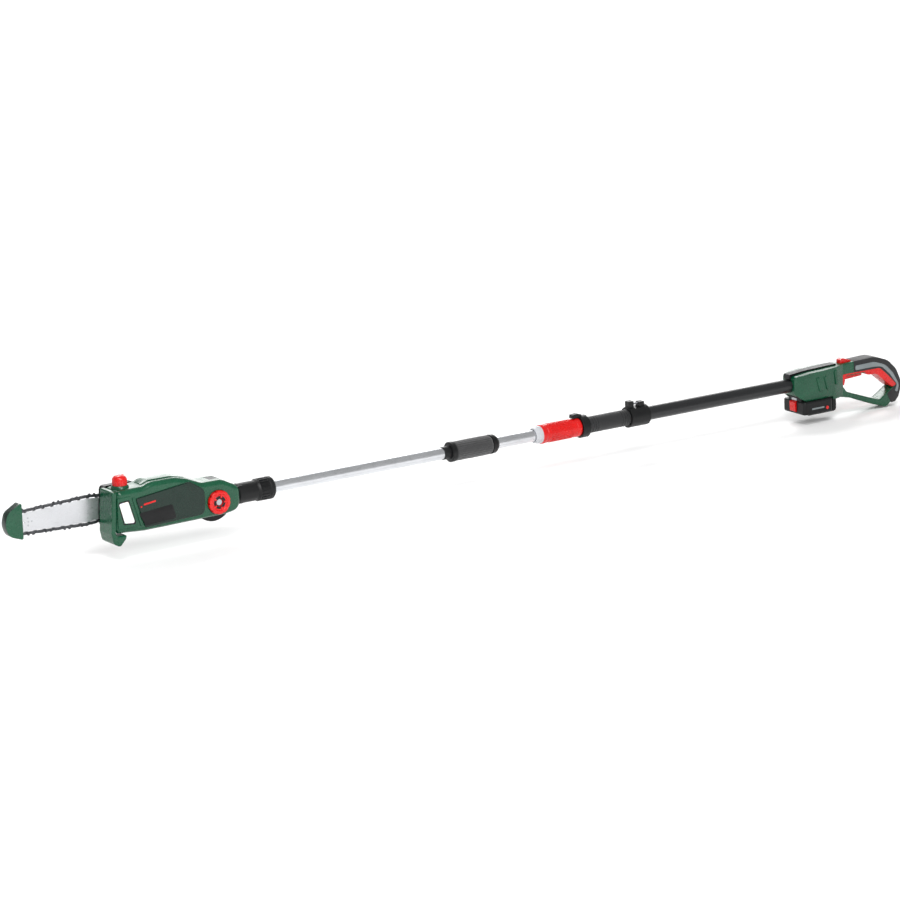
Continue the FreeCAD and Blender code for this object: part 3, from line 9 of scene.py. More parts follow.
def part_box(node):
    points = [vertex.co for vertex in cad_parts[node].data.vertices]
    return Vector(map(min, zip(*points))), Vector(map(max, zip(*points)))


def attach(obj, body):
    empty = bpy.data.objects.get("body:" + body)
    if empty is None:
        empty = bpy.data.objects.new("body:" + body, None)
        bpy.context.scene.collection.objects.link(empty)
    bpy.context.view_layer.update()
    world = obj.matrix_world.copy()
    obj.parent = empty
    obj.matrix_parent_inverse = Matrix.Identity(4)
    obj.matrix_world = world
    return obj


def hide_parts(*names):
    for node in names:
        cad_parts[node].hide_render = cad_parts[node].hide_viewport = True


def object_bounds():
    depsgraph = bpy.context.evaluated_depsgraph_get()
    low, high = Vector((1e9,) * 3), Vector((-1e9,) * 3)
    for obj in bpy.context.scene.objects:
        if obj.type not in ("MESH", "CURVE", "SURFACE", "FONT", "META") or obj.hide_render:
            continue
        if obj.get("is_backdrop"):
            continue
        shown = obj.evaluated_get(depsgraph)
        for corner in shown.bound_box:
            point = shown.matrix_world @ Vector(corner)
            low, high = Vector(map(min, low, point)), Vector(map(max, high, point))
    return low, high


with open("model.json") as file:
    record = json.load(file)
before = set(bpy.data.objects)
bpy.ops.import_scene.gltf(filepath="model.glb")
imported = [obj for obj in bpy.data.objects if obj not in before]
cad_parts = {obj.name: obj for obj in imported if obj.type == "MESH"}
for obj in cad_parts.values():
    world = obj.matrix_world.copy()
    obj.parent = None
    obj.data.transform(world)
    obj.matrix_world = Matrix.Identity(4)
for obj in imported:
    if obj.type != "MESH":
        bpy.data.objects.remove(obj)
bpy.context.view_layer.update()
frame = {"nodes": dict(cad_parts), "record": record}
nodes = frame["nodes"]
print("frame loaded")

# camera and light
camera = {"focal": 160, "turn": 33, "height": 14, "roll": 2.14, "distance": 7.812,
          "target": (-0.447, 0, 0), "shift": 2 / 900}
light = {"sky": 0.46, "softness": 24, "middle": (-0.4, 0, 0), "floorSize": 120, "floorGap": 0.002,
         "key": 1.35, "keyAt": (-1.4, -1.6, 2.6), "rim": 1.5, "rimAt": (0.2, 2.2, 2.3),
         "back": 0.8, "backAt": (0.91, 2.01, 0.65), "backSoftness": 34,
         "glint": 26, "glintAt": (-1.3, -1.9, 1.1), "glintSize": 0.9}


def lookFrom(position, target):
    aim = (Vector(target) - Vector(position)).normalized()
    return aim.to_track_quat("-Z", "Y").to_euler()


def addCamera(v):
    turn, height, roll = (math.radians(v[k]) for k in ("turn", "height", "roll"))
    back = Vector((-math.sin(turn) * math.cos(height), -math.cos(turn) * math.cos(height), math.sin(height)))
    side = Vector((math.cos(turn), -math.sin(turn), 0))
    rise = back.cross(side)
    right = side * math.cos(roll) - rise * math.sin(roll)
    up = side * math.sin(roll) + rise * math.cos(roll)
    basis = Matrix((right, up, back)).transposed()
    bpy.ops.object.camera_add(location=Vector(v["target"]) + back * v["distance"], rotation=basis.to_euler())
    eye = bpy.context.object
    eye.data.lens = v["focal"]
    eye.data.sensor_width = 36
    eye.data.shift_y = v["shift"]
    eye.data.clip_end = 200
    bpy.context.scene.camera = eye


def addLamp(name, position, target, power, size):
    bpy.ops.object.light_add(type="AREA", location=position, rotation=lookFrom(position, target))
    lamp = bpy.context.object
    lamp.name = name
    lamp.data.energy = power
    lamp.data.size = size


def addSun(name, position, target, strength, softness):
    bpy.ops.object.light_add(type="SUN", location=position, rotation=lookFrom(position, target))
    lamp = bpy.context.object
    lamp.name = name
    lamp.data.energy = strength
    lamp.data.angle = math.radians(softness)


def addStage(v):
    world = bpy.context.scene.world or bpy.data.worlds.new("Studio")
    bpy.context.scene.world = world
    world.use_nodes = True
    sky = world.node_tree.nodes["Background"]
    sky.inputs["Color"].default_value = (1, 1, 1, 1)
    sky.inputs["Strength"].default_value = v["sky"]
    bpy.context.scene.view_settings.view_transform = "Standard"
    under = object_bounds()[0][2] - v["floorGap"]
    bpy.ops.mesh.primitive_plane_add(size=v["floorSize"], location=(0, 0, under))
    floor = bpy.context.object
    floor.name = "floor"
    paper = bpy.data.materials.new("palePaper")
    paper.use_nodes = True
    shader = paper.node_tree.nodes["Principled BSDF"]
    shader.inputs["Base Color"].default_value = (0.93, 0.93, 0.93, 1)
    shader.inputs["Roughness"].default_value = 0.9
    shader.inputs["Specular IOR Level"].default_value = 0.1
    floor.data.materials.append(paper)
    floor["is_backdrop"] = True
    addSun("keyLight", v["keyAt"], v["middle"], v["key"], v["softness"])
    addSun("rimLight", v["rimAt"], v["middle"], v["rim"], v["softness"])
    addSun("backLight", v["backAt"], v["middle"], v["back"], v["backSoftness"])
    addLamp("glintLamp", v["glintAt"], v["middle"], v["glint"], v["glintSize"])


addCamera(camera)
addStage(light)
print("camera and light set")


# finishes
def linear(red, green, blue):
    return tuple((c / 12.92 if c <= 0.04045 else ((c + 0.055) / 1.055) ** 2.4)
                 for c in (red / 255, green / 255, blue / 255)) + (1,)


def shade(colour, amount):
    return tuple(min(1, c * amount) for c in colour[:3]) + (1,)


def newFinish(name, **sockets):
    finish = bpy.data.materials.new(name)
    finish.use_nodes = True
    shader = finish.node_tree.nodes["Principled BSDF"]
    for socket, amount in sockets.items():
        shader.inputs[socket.replace("_", " ")].default_value = amount
    return finish, finish.node_tree.nodes, finish.node_tree.links, shader


def objectCoordinates(tree, link, stretch=(1, 1, 1)):
    place = tree.new("ShaderNodeTexCoord")
    mapping = tree.new("ShaderNodeMapping")
    mapping.inputs["Scale"].default_value = stretch
    link.new(place.outputs["Object"], mapping.inputs["Vector"])
    return mapping.outputs["Vector"]


def noise(tree, link, where, scale, detail=3, roughness=0.5):
    cloud = tree.new("ShaderNodeTexNoise")
    cloud.inputs["Scale"].default_value = scale
    cloud.inputs["Detail"].default_value = detail
    cloud.inputs["Roughness"].default_value = roughness
    link.new(where, cloud.inputs["Vector"])
    return cloud.outputs["Fac"]


def ramp(tree, link, fac, *stops):
    band = tree.new("ShaderNodeValToRGB")
    while len(band.color_ramp.elements) < len(stops):
        band.color_ramp.elements.new(0.5)
    for element, (position, colour) in zip(band.color_ramp.elements, stops):
        element.position = position
        element.color = colour
    link.new(fac, band.inputs["Fac"])
    return band.outputs["Color"]


def spread(tree, link, fac, low, high, start=0.3, end=0.7):
    rescale = tree.new("ShaderNodeMapRange")
    for socket, amount in (("From Min", start), ("From Max", end), ("To Min", low), ("To Max", high)):
        rescale.inputs[socket].default_value = amount
    link.new(fac, rescale.inputs["Value"])
    return rescale.outputs["Result"]


def bump(tree, link, height, distance, strength=1.0, under=None):
    relief = tree.new("ShaderNodeBump")
    relief.inputs["Distance"].default_value = distance
    relief.inputs["Strength"].default_value = strength
    link.new(height, relief.inputs["Height"])
    if under:
        link.new(under, relief.inputs["Normal"])
    return relief.outputs["Normal"]


def mouldedPlastic(name, colour, gloss=0.36, grain=900, relief=0.000015, shine=0.5):
    finish, tree, link, shader = newFinish(name, IOR=1.5, Specular_IOR_Level=shine)
    where = objectCoordinates(tree, link)
    tone = noise(tree, link, where, scale=24, detail=4)
    link.new(ramp(tree, link, tone, (0.3, shade(colour, 0.86)), (0.7, shade(colour, 1.1))),
             shader.inputs["Base Color"])
    smudge = noise(tree, link, where, scale=70, detail=5, roughness=0.6)
    link.new(spread(tree, link, smudge, gloss - 0.05, gloss + 0.09), shader.inputs["Roughness"])
    pebble = noise(tree, link, where, grain, detail=2)
    link.new(bump(tree, link, pebble, relief), shader.inputs["Normal"])
    return finish


def softRubber(name, colour, pitch=650, relief=0.00008):
    finish, tree, link, shader = newFinish(name, IOR=1.48, Sheen_Weight=0.15, Sheen_Roughness=0.5)
    where = objectCoordinates(tree, link)
    tone = noise(tree, link, where, scale=40, detail=4)
    link.new(ramp(tree, link, tone, (0.3, shade(colour, 0.8)), (0.7, shade(colour, 1.25))),
             shader.inputs["Base Color"])
    link.new(spread(tree, link, tone, 0.55, 0.72), shader.inputs["Roughness"])
    cells = tree.new("ShaderNodeTexVoronoi")
    cells.inputs["Scale"].default_value = pitch
    link.new(where, cells.inputs["Vector"])
    link.new(bump(tree, link, cells.outputs["Distance"], relief, 0.7), shader.inputs["Normal"])
    return finish


def foamFinish(name, colour):
    finish, tree, link, shader = newFinish(name, IOR=1.45, Sheen_Weight=0.3, Sheen_Roughness=0.6)
    where = objectCoordinates(tree, link)
    along = objectCoordinates(tree, link, (0.12, 1, 1))
    streak = noise(tree, link, along, scale=420, detail=4, roughness=0.6)
    link.new(ramp(tree, link, streak, (0.3, shade(colour, 0.6)), (0.7, shade(colour, 1.7))),
             shader.inputs["Base Color"])
    link.new(spread(tree, link, streak, 0.72, 0.9), shader.inputs["Roughness"])
    pores = tree.new("ShaderNodeTexVoronoi")
    pores.inputs["Scale"].default_value = 900
    link.new(where, pores.inputs["Vector"])
    first = bump(tree, link, pores.outputs["Distance"], 0.0003, 0.8)
    link.new(bump(tree, link, streak, 0.0004, 0.6, first), shader.inputs["Normal"])
    return finish


def drawnMetal(name, colour, stretch, gloss=0.28, relief=0.00002, metal=1.0, line=2600):
    finish, tree, link, shader = newFinish(name, Metallic=metal)
    where = objectCoordinates(tree, link)
    streak = noise(tree, link, objectCoordinates(tree, link, stretch), line, roughness=0.65)
    tone = noise(tree, link, where, scale=18, detail=4)
    mix = tree.new("ShaderNodeMix")
    mix.data_type = "RGBA"
    mix.inputs["Factor"].default_value = 0.5
    streaked = ramp(tree, link, streak, (0.3, shade(colour, 0.82)), (0.7, shade(colour, 1.08)))
    link.new(streaked, mix.inputs["A"])
    toned = ramp(tree, link, tone, (0.3, shade(colour, 0.9)), (0.7, shade(colour, 1.06)))
    link.new(toned, mix.inputs["B"])
    link.new(mix.outputs["Result"], shader.inputs["Base Color"])
    link.new(spread(tree, link, streak, gloss - 0.06, gloss + 0.1), shader.inputs["Roughness"])
    link.new(bump(tree, link, streak, relief, 0.6), shader.inputs["Normal"])
    return finish


def oiledSteel(name, colour):
    finish, tree, link, shader = newFinish(name, Metallic=0.9, Coat_Weight=0.25, Coat_Roughness=0.15)
    where = objectCoordinates(tree, link)
    stain = noise(tree, link, where, scale=260, detail=5, roughness=0.65)
    link.new(ramp(tree, link, stain, (0.35, shade(colour, 0.5)), (0.65, shade(colour, 1.5))),
             shader.inputs["Base Color"])
    link.new(spread(tree, link, stain, 0.24, 0.5), shader.inputs["Roughness"])
    grain = noise(tree, link, where, scale=1800, detail=2)
    link.new(bump(tree, link, grain, 0.00003), shader.inputs["Normal"])
    return finish


def clearTank(name, colour):
    finish, tree, link, shader = newFinish(name, IOR=1.5, Subsurface_Weight=0.35, Subsurface_Scale=0.004)
    where = objectCoordinates(tree, link)
    tone = noise(tree, link, where, scale=30)
    link.new(ramp(tree, link, tone, (0.3, shade(colour, 0.94)), (0.7, colour)), shader.inputs["Base Color"])
    link.new(spread(tree, link, tone, 0.22, 0.34), shader.inputs["Roughness"])
    grain = noise(tree, link, where, scale=700, detail=2)
    link.new(bump(tree, link, grain, 0.00005), shader.inputs["Normal"])
    return finish


colours = {"green": linear(2, 72, 46), "deepGreen": linear(2, 32, 22),
           "red": linear(206, 16, 14), "black": linear(14, 15, 16), "softBlack": linear(22, 23, 25),
           "foam": linear(34, 34, 35), "aluminium": linear(214, 216, 219), "tubeBlack": linear(24, 25, 27),
           "bar": linear(206, 207, 210), "chain": linear(70, 71, 74), "zinc": linear(178, 180, 184),
           # the ring colour is pale, partly a painted highlight: the sleeve's mouth ring and the plate over
           # the battery's release button
           "tank": linear(244, 244, 240), "ring": linear(186, 188, 192), "motor": linear(120, 122, 126),
           "copper": linear(168, 104, 62), "cell": linear(38, 88, 150), "brass": linear(206, 172, 98),
           # the last colour on this row is a painted highlight: the pale bands along the grip's sides and the
           # battery's sides
           "board": linear(20, 92, 52), "cable": linear(26, 26, 27), "highlightGrey": linear(122, 130, 132)}

finishes = {
    "shell_green": mouldedPlastic("shellGreen", colours["green"], 0.25, shine=0.5),
    "panel_green": mouldedPlastic("panelGreen", colours["deepGreen"], 0.24, shine=0.4),
    "black_plastic": mouldedPlastic("blackNylon", colours["black"], 0.42, 800, 0.00003, shine=0.3),
    "red_plastic": mouldedPlastic("redGloss", colours["red"], 0.26, shine=0.45),
    "soft_black": softRubber("softOvermould", colours["softBlack"]),
    "foam_black": foamFinish("gripFoam", colours["foam"]),
    "pole_aluminium": drawnMetal("drawnAluminium", colours["aluminium"], (0.02, 1, 1), 0.3),
    "pole_black": drawnMetal("blackPoleCoat", colours["tubeBlack"], (0.05, 1, 1), 0.32, metal=0.0),
    "bar_steel": drawnMetal("groundBarSteel", colours["bar"], (0.04, 1, 1), 0.3),
    "chain_steel": oiledSteel("oiledChainSteel", colours["chain"]),
    "zinc_steel": drawnMetal("zincSteel", colours["zinc"], (1, 1, 1), 0.34, line=500),
    "tank_white": clearTank("milkyTank", colours["tank"]),
    # pale ring colour, partly a painted highlight; also the painted highlight plate over the battery's
    # release button
    "ring_grey": mouldedPlastic("paleRingAndHighlight", colours["ring"], 0.4),
    "motor_steel": drawnMetal("motorCan", colours["motor"], (1, 0.05, 1), 0.36),
    "copper_core": drawnMetal("copperWinding", colours["copper"], (1, 0.1, 1), 0.35, line=1800),
    "cell_wrap": mouldedPlastic("cellWrap", colours["cell"], 0.25),
    "contact_brass": drawnMetal("contactBrass", colours["brass"], (1, 1, 0.1), 0.25),
    "board_green": mouldedPlastic("circuitBoard", colours["board"], 0.35),
    "cable_black": softRubber("cableJacket", colours["cable"], 1500, 0.00003),
    # painted highlight: the pale side bands of the grip and of the battery
    "grip_grey": mouldedPlastic("gripHighlightGrey", colours["highlightGrey"], 0.4),
    "spring_steel": drawnMetal("springSteel", colours["zinc"], (1, 1, 1), 0.25, line=900),
}
slotOf = {entry["node"]: entry["material_slot"] for entry in frame["record"]["subparts"]}
for node, item in nodes.items():
    item.data.materials.clear()
    item.data.materials.append(finishes[slotOf[node]])
print("finishes given to %d CAD nodes" % len(nodes))


# making shapes
def alone(item):
    bpy.ops.object.select_all(action="DESELECT")
    item.select_set(True)
    bpy.context.view_layer.objects.active = item


def startAt(name, point):
    bpy.ops.object.select_all(action="DESELECT")
    bpy.ops.mesh.primitive_plane_add(size=0.002, location=point)
    piece = bpy.context.object
    piece.name = piece.data.name = name
    bpy.ops.object.mode_set(mode="EDIT")
    bpy.ops.mesh.select_all(action="SELECT")
    bpy.ops.mesh.merge(type="CENTER")
    return piece


def runThrough(points):
    for here, there in zip(points, points[1:]):
        bpy.ops.mesh.extrude_region_move(
            TRANSFORM_OT_translate={"value": tuple(b - a for a, b in zip(here, there))})


def closeShape(piece):
    bpy.ops.mesh.select_all(action="SELECT")
    bpy.ops.mesh.remove_doubles(threshold=1e-6)
    bpy.ops.mesh.normals_make_consistent(inside=False)
    bpy.ops.object.mode_set(mode="OBJECT")
    alone(piece)
    bpy.ops.object.transform_apply(location=True, rotation=True, scale=True)
    return piece


def roundCorners(corners, steps=6):
    # corners are (x, z) or (x, z, radius), all in mm
    points = []
    count = len(corners)
    for i, corner in enumerate(corners):
        here = Vector(corner[:2])
        radius = corner[2] if len(corner) > 2 else 0
        back = Vector(corners[i - 1][:2]) - here
        ahead = Vector(corners[(i + 1) % count][:2]) - here
        half = back.angle(ahead) / 2
        reach = radius / math.tan(half) if radius else 0
        reach = min(reach, back.length * 0.49, ahead.length * 0.49)
        if reach < 0.05:
            points.append(tuple(here))
            continue
        start, end = here + back.normalized() * reach, here + ahead.normalized() * reach
        for step in range(steps + 1):
            t = step / steps
            points.append(tuple(start * (1 - t) ** 2 + here * 2 * t * (1 - t) + end * t ** 2))
    return points


def plate(name, corners, low, high, across="Y", origin=(0, 0)):
    # an outline in mm, drawn flat and extruded across it
    def place(point, height):
        a, b = (point[0] + origin[0]) / 1000, (point[1] + origin[1]) / 1000
        return {"Y": (a, height / 1000, b), "Z": (a, b, height / 1000), "X": (height / 1000, a, b)}[across]
    points = [place(p, low) for p in roundCorners(corners)]
    piece = startAt(name, points[0])
    runThrough(points)
    bpy.ops.mesh.select_all(action="SELECT")
    bpy.ops.mesh.edge_face_add()
    travel = (high - low) / 1000
    bpy.ops.mesh.extrude_region_move(TRANSFORM_OT_translate={
        "value": {"Y": (0, travel, 0), "Z": (0, 0, travel), "X": (travel, 0, 0)}[across]})
    return closeShape(piece)


def spun(name, profile, centre, along="X", steps=64):
    # a profile of (distance along, radius) in mm, spun about the axis
    def place(a, r):
        offset = {"X": (a, 0, r), "Y": (0, a, r), "Z": (r, 0, a)}[along]
        return tuple(c + o / 1000 for c, o in zip(centre, offset))
    points = [place(a, max(r, 0)) for a, r in profile]
    piece = startAt(name, points[0])
    runThrough(points)
    bpy.ops.mesh.select_all(action="SELECT")
    axis = {"X": (1, 0, 0), "Y": (0, 1, 0), "Z": (0, 0, 1)}[along]
    bpy.ops.mesh.spin(steps=steps, angle=2 * math.pi, center=centre, axis=axis)
    return closeShape(piece)


def combine(piece, how, *tools):
    for tool in tools:
        alone(piece)
        step = piece.modifiers.new("join", "BOOLEAN")
        step.operation = how
        step.solver = "EXACT"
        step.object = tool
        bpy.ops.object.modifier_apply(modifier=step.name)
        bpy.data.objects.remove(tool)
    return piece


def bevelled(piece, width, segments=3, angle=30):
    alone(piece)
    step = piece.modifiers.new("edges", "BEVEL")
    step.width = width / 1000
    step.segments = segments
    step.limit_method = "ANGLE"
    step.angle_limit = math.radians(angle)
    bpy.ops.object.modifier_apply(modifier=step.name)
    return piece


def join(piece, *others):
    alone(piece)
    for other in others:
        other.select_set(True)
    bpy.ops.object.join()
    return piece


def copies(piece, count, centre, axis):
    # a full ring of copies, each with its own mesh, joined to the first
    ring = [piece]
    turn = 2 * math.pi / count
    for i in range(1, count):
        twin = piece.copy()
        twin.data = piece.data.copy()
        bpy.context.collection.objects.link(twin)
        spin = Matrix.Rotation(turn * i, 4, axis)
        middle = Vector(centre)
        twin.data.transform(Matrix.Translation(middle) @ spin @ Matrix.Translation(-middle))
        ring.append(twin)
    return join(*ring)


def middleOf(node, axis):
    low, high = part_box(node)
    return (low[axis] + high[axis]) / 2


def turnedExtent(node):
    # front end, rear end and radius of a round node on the pole, in mm
    low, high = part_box(node)
    return low[0] * 1000, high[0] * 1000, high[2] * 1000


def done(piece, body, slot, *stoodFor, finish=None, smooth=32):
    alone(piece)
    bpy.ops.object.shade_smooth_by_angle(angle=math.radians(smooth))
    if not piece.data.materials:
        piece.data.materials.append(finish or finishes[slot])
    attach(piece, body)
    if stoodFor:
        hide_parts(*stoodFor)
    return piece


# handle, in mm from its nose
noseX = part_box("handle_shell_left")[0][0] * 1000
handle = {
    "halfWidth": 28, "loopHalf": 15, "edge": 5, "loopEdge": 4.5, "ribRoot": 18, "ribEdge": 2, "seam": 0.12,
    "planReach": 60, "clear": 40, "tubeStart": -30, "tubeEnd": 60.5, "tubeRadius": 14.1,
    "side": [(0, -17, 10), (0, 21, 10), (38, 25, 40), (131, 27.9), (131, -40), (97, -40, 4), (97, -32.6),
             (22, -32.6, 12)],
    "plan": [(-1, -19, 6), (16, -27, 18), (70, -28, 60), (104, -24, 40), (131.5, -15), (131.5, 15),
             (104, 24, 40), (70, 28, 60), (16, 27, 18), (-1, 19, 6)],
    "loop": [(118, 27), (164, 29, 3), (166, 22), (213, 21.5, 55), (243, 11, 30), (263, -8, 30),
             (280, -36, 20), (266, -66, 12), (247, -82.5, 14), (205, -68.5, 60), (150, -47, 30), (118, -40)],
    "hole": [(129, -17, 3), (131, 1.5, 5), (228, -0.5, 16), (249, -18, 25), (270, -39, 3), (228, -64, 12),
             (142, -33, 10)],
    "ribs": [([(50, 13, 3), (59, 14, 3), (67, -16, 3), (58, -17, 3)], 30),
             ([(70, 13.5, 3), (77, 14, 3), (85, -15, 3), (78, -16, 3)], 29.8),
             ([(100, 21, 2), (107, 21.5, 2), (110, -9, 2), (104, -10, 2)], 26.4)],
    "screws": [(12, 17.5), (50, -17.6), (131, -34), (205, -61.5), (254, -64), (233, 6)],
    "screwRadius": 3.65, "screwSink": 2.2}
grip = {
    "half": 15.6, "edge": 3.6, "highlightLow": 15.2, "highlightHigh": 16.1, "highlightEdge": 0.5,
    "skin": [(160, 29.5, 3), (216, 30.9, 60), (251, 18.5, 40), (273, -3, 40), (288, -36, 25),
             (279, -64, 14), (270, -73, 4), (259, -74, 3), (248.5, -54, 3), (269.5, -40.5, 1),
             (273.4, -35.4, 2), (252.6, -13.8, 25), (230, 5.4, 16), (161, 5.8, 2)],
    # the band outline is a thin pale plate on each side of the grip, a painted highlight of its glossy side
    "band": [(164, 19.5, 4), (214, 20.5, 50), (244, 10, 40), (264, -10, 40), (281, -38, 20),
             (276, -54, 6), (269, -50, 5), (275.5, -37.5, 8), (256, -12.2, 30), (234, 7.6, 24),
             (212, 9.8, 50), (164, 9.6, 4)]}
liner = {
    "half": 15.2, "edge": 1.2, "ridges": 7, "ridgeRadius": 1.1, "ridgeHalf": 12.5,
    "ridgeStart": (229, -10.8), "ridgeEnd": (258.5, -35.6),
    "outline": [(129.3, -17), (131.3, 5.4, 4), (229.5, 5, 16), (252.2, -14.5, 25), (273.2, -35.8, 2),
                (270, -39, 1), (262.5, -40.5, 2), (242, -24, 25), (222, -6.5, 14), (197, -5, 5),
                (189.5, 2.4, 3), (140, 3, 3), (137, -5, 4), (134, -17.5, 1.5)]}
# rooms cut for other pieces: from x and z, to x and z, and half the width
rooms = {"dock": (-5, -50, 89, -21.1, 21.9), "contactSeat": (88.5, -40, 97.2, -17.8, 14.2),
         "triggerWay": (139, -12, 191, 19, 7.5), "lockWay": (130.5, 10, 160.5, 40, 6.6),
         "skinLock": (130, 10, 161.5, 40, 6.6), "skinTrigger": (139, -30, 191, 19.2, 7.5),
         "linerWay": (139.5, -12, 190.5, 19, 7.5)}


def handleAt(x, z):
    return (noseX + x) / 1000, 0, z / 1000


def inHandle(name, corners, low, high, across="Y"):
    return plate(name, corners, low, high, across, (noseX, 0))


def room(name):
    left, bottom, right, top, half = rooms[name]
    return inHandle(name, [(left, bottom), (right, bottom), (right, top), (left, top)], -half, half)


def screwWays(v):
    floor = v["loopHalf"] - v["screwSink"]
    profile = [(floor, 0), (floor, v["screwRadius"]), (v["clear"], v["screwRadius"]), (v["clear"], 0)]
    return [spun("screwWay", profile, handleAt(x, z), "Y", 24) for x, z in v["screws"]]


def halfOf(body, name, side, seam):
    half = body.copy()
    half.data = body.data.copy()
    half.name = half.data.name = name
    bpy.context.collection.objects.link(half)
    alone(half)
    bpy.ops.object.mode_set(mode="EDIT")
    bpy.ops.mesh.select_all(action="SELECT")
    bpy.ops.mesh.bisect(plane_co=(0, side * seam / 1000, 0), plane_no=(0, side, 0), use_fill=True,
                        clear_inner=True, clear_outer=False)
    bpy.ops.object.mode_set(mode="OBJECT")
    return half


def makeShells(v):
    body = inHandle("handleBody", v["side"], -v["halfWidth"], v["halfWidth"])
    combine(body, "INTERSECT", inHandle("plan", v["plan"], -v["planReach"], v["planReach"], "Z"))
    bevelled(body, v["edge"], 4)
    for corners, out in v["ribs"]:
        for low, high in ((-out, -v["ribRoot"]), (v["ribRoot"], out)):
            combine(body, "UNION", bevelled(inHandle("rib", corners, low, high), v["ribEdge"], 4, 35))
    loop = inHandle("loop", v["loop"], -v["loopHalf"], v["loopHalf"])
    combine(loop, "DIFFERENCE", inHandle("hole", v["hole"], -v["clear"], v["clear"]))
    bevelled(loop, v["loopEdge"], 4)
    combine(body, "UNION", loop)
    start, end, radius = v["tubeStart"], v["tubeEnd"], v["tubeRadius"]
    tube = spun("tubeSeat", [(start, 0), (start, radius), (end, radius), (end, 0)], handleAt(0, 0))
    combine(body, "DIFFERENCE", tube, room("dock"), room("contactSeat"), room("triggerWay"), room("lockWay"))
    combine(body, "DIFFERENCE", *screwWays(v))
    for name, side, node in (("handleLeft", -1, "handle_shell_left"),
                             ("handleRight", 1, "handle_shell_right")):
        done(halfOf(body, name, side, v["seam"]), "handle", "shell_green", node)
    bpy.data.objects.remove(body)


def makeGrip(v):
    skin = inHandle("gripSkin", v["skin"], -v["half"], v["half"])
    combine(skin, "DIFFERENCE", room("skinLock"))
    bevelled(skin, v["edge"], 4)
    combine(skin, "DIFFERENCE", *screwWays(handle))
    combine(skin, "DIFFERENCE", room("skinTrigger"))
    done(skin, "handle", "soft_black", "soft_grip")
    # pale plates on both sides of the grip, a painted highlight of the light along its glossy sides
    for name, low, high in (("gripHighlightLeft", -v["highlightHigh"], -v["highlightLow"]),
                            ("gripHighlightRight", v["highlightLow"], v["highlightHigh"])):
        band = bevelled(inHandle(name, v["band"], low, high), v["highlightEdge"], 2, 35)
        done(band, "handle", "soft_black", finish=finishes["grip_grey"])


def makeLiner(v):
    shape = inHandle("redLiner", v["outline"], -v["half"], v["half"])
    combine(shape, "DIFFERENCE", room("linerWay"))
    bevelled(shape, v["edge"])
    done(shape, "handle", "red_plastic", "inner_liner")
    half, size, chamfer = v["ridgeHalf"], v["ridgeRadius"], 0.5
    profile = [(-half, 0), (-half, size * 0.6), (chamfer - half, size), (half - chamfer, size),
               (half, size * 0.6), (half, 0)]
    start, end = Vector(v["ridgeStart"]), Vector(v["ridgeEnd"])
    bars = []
    for i in range(v["ridges"]):
        place = start.lerp(end, i / (v["ridges"] - 1))
        bars.append(spun("linerRidges", profile, handleAt(*place), "Y", 16))
    done(join(*bars), "handle", "red_plastic", smooth=50)


makeShells(handle)
makeGrip(grip)
makeLiner(liner)
print("handle made")

# head, in mm from the tilt pivot
headAt = middleOf("tilt_lock_button", 0) * 1000
guard = {
    "low": 18.5, "high": 35.5, "rim": 3.2, "sink": 1.2, "wall": 3, "edge": 0.9,
    "outline": [(-386, 57, 4), (-416, 40, 20), (-422, 18, 30), (-415, -4, 20), (-386, -14.5, 4)],
    "hollow": [(-385, 51), (-407, 40, 10), (-417, 24, 10), (-417, 10, 10), (-407, -4, 10), (-385, -10)]}
rivet = {
    "places": [(-372, 7), (-372, -7), (-364, 0), (-371, 0)],
    "profile": [(-0.4, 0), (-0.4, 1.9), (0.15, 1.7), (0.35, 0.9), (0.35, 0)]}
panel = {
    "outline": [(-176, 37, 5), (-60, 50, 12), (-30, 30, 14), (-29, 2, 14), (-33, -17, 9), (-158, -21.5, 6)],
    "low": [(-171, 8, 2), (-100, 14, 4), (-92, -14, 5), (-158, -17.5, 4)],
    "stripe": [(-160, 25, 1.2), (-134, 28, 1.2), (-134.6, 24.6, 1.2), (-160.5, 21.4, 1.2)],
    "dot": [(-166.5, 21.5, 1), (-163.4, 21.9, 1), (-163.9, 18.6, 1), (-167, 18.2, 1)],
    "pillar": [(-183, 39, 3), (-178.5, 40, 2), (-163, -17, 2), (-168, -17.5, 3)],
    "depth": (-32.4, -29.2), "insertDepth": (-32.75, -32.2), "pillarDepth": (-32.2, -29.5),
    "edge": 1.4, "insertEdge": 0.2, "pillarEdge": 1.3}
window = {
    "opening": [(-211, 32.5, 3), (-192, 34.5, 3), (-180, -8, 3), (-201, -6, 3)],
    "surround": [(-213.5, 43, 3), (-186, 44, 3), (-174, -16.8, 3), (-214.8, -16.8, 3)],
    "frame": [(-213, 35.5, 4), (-189.5, 37, 4), (-176.6, -11, 4), (-203.5, -9, 4)],
    "openingDepth": (-40, -20), "surroundDepth": (-30.8, -26.8), "frameDepth": (-31.2, -29.6),
    "surroundEdge": 0.7, "frameEdge": 0.5}
crest = {
    "ridge": [(-157, 50), (-157, 57.5, 4), (-141, 64, 20), (-92, 63.3, 40), (-66, 57, 20), (-52, 50, 4),
              (-60, 47)],
    # three small black slots on top of the head: painted shade of the step behind the side panel's top edge
    "shadeSlotPlaces": [(-58, 49.5), (-49, 46.5), (-40, 43)],
    "shadeSlot": [(-3, -6), (-2.2, 2.1, 1), (2.2, 1.2, 1), (2.6, -6)],
    "ridgeDepth": (-15, 9), "shadeSlotDepth": (-13, 5), "ridgeEdge": 2.2, "shadeSlotEdge": 0.6}


def inHead(name, corners, low, high):
    return plate(name, corners, low, high, "Y", (headAt, 0))


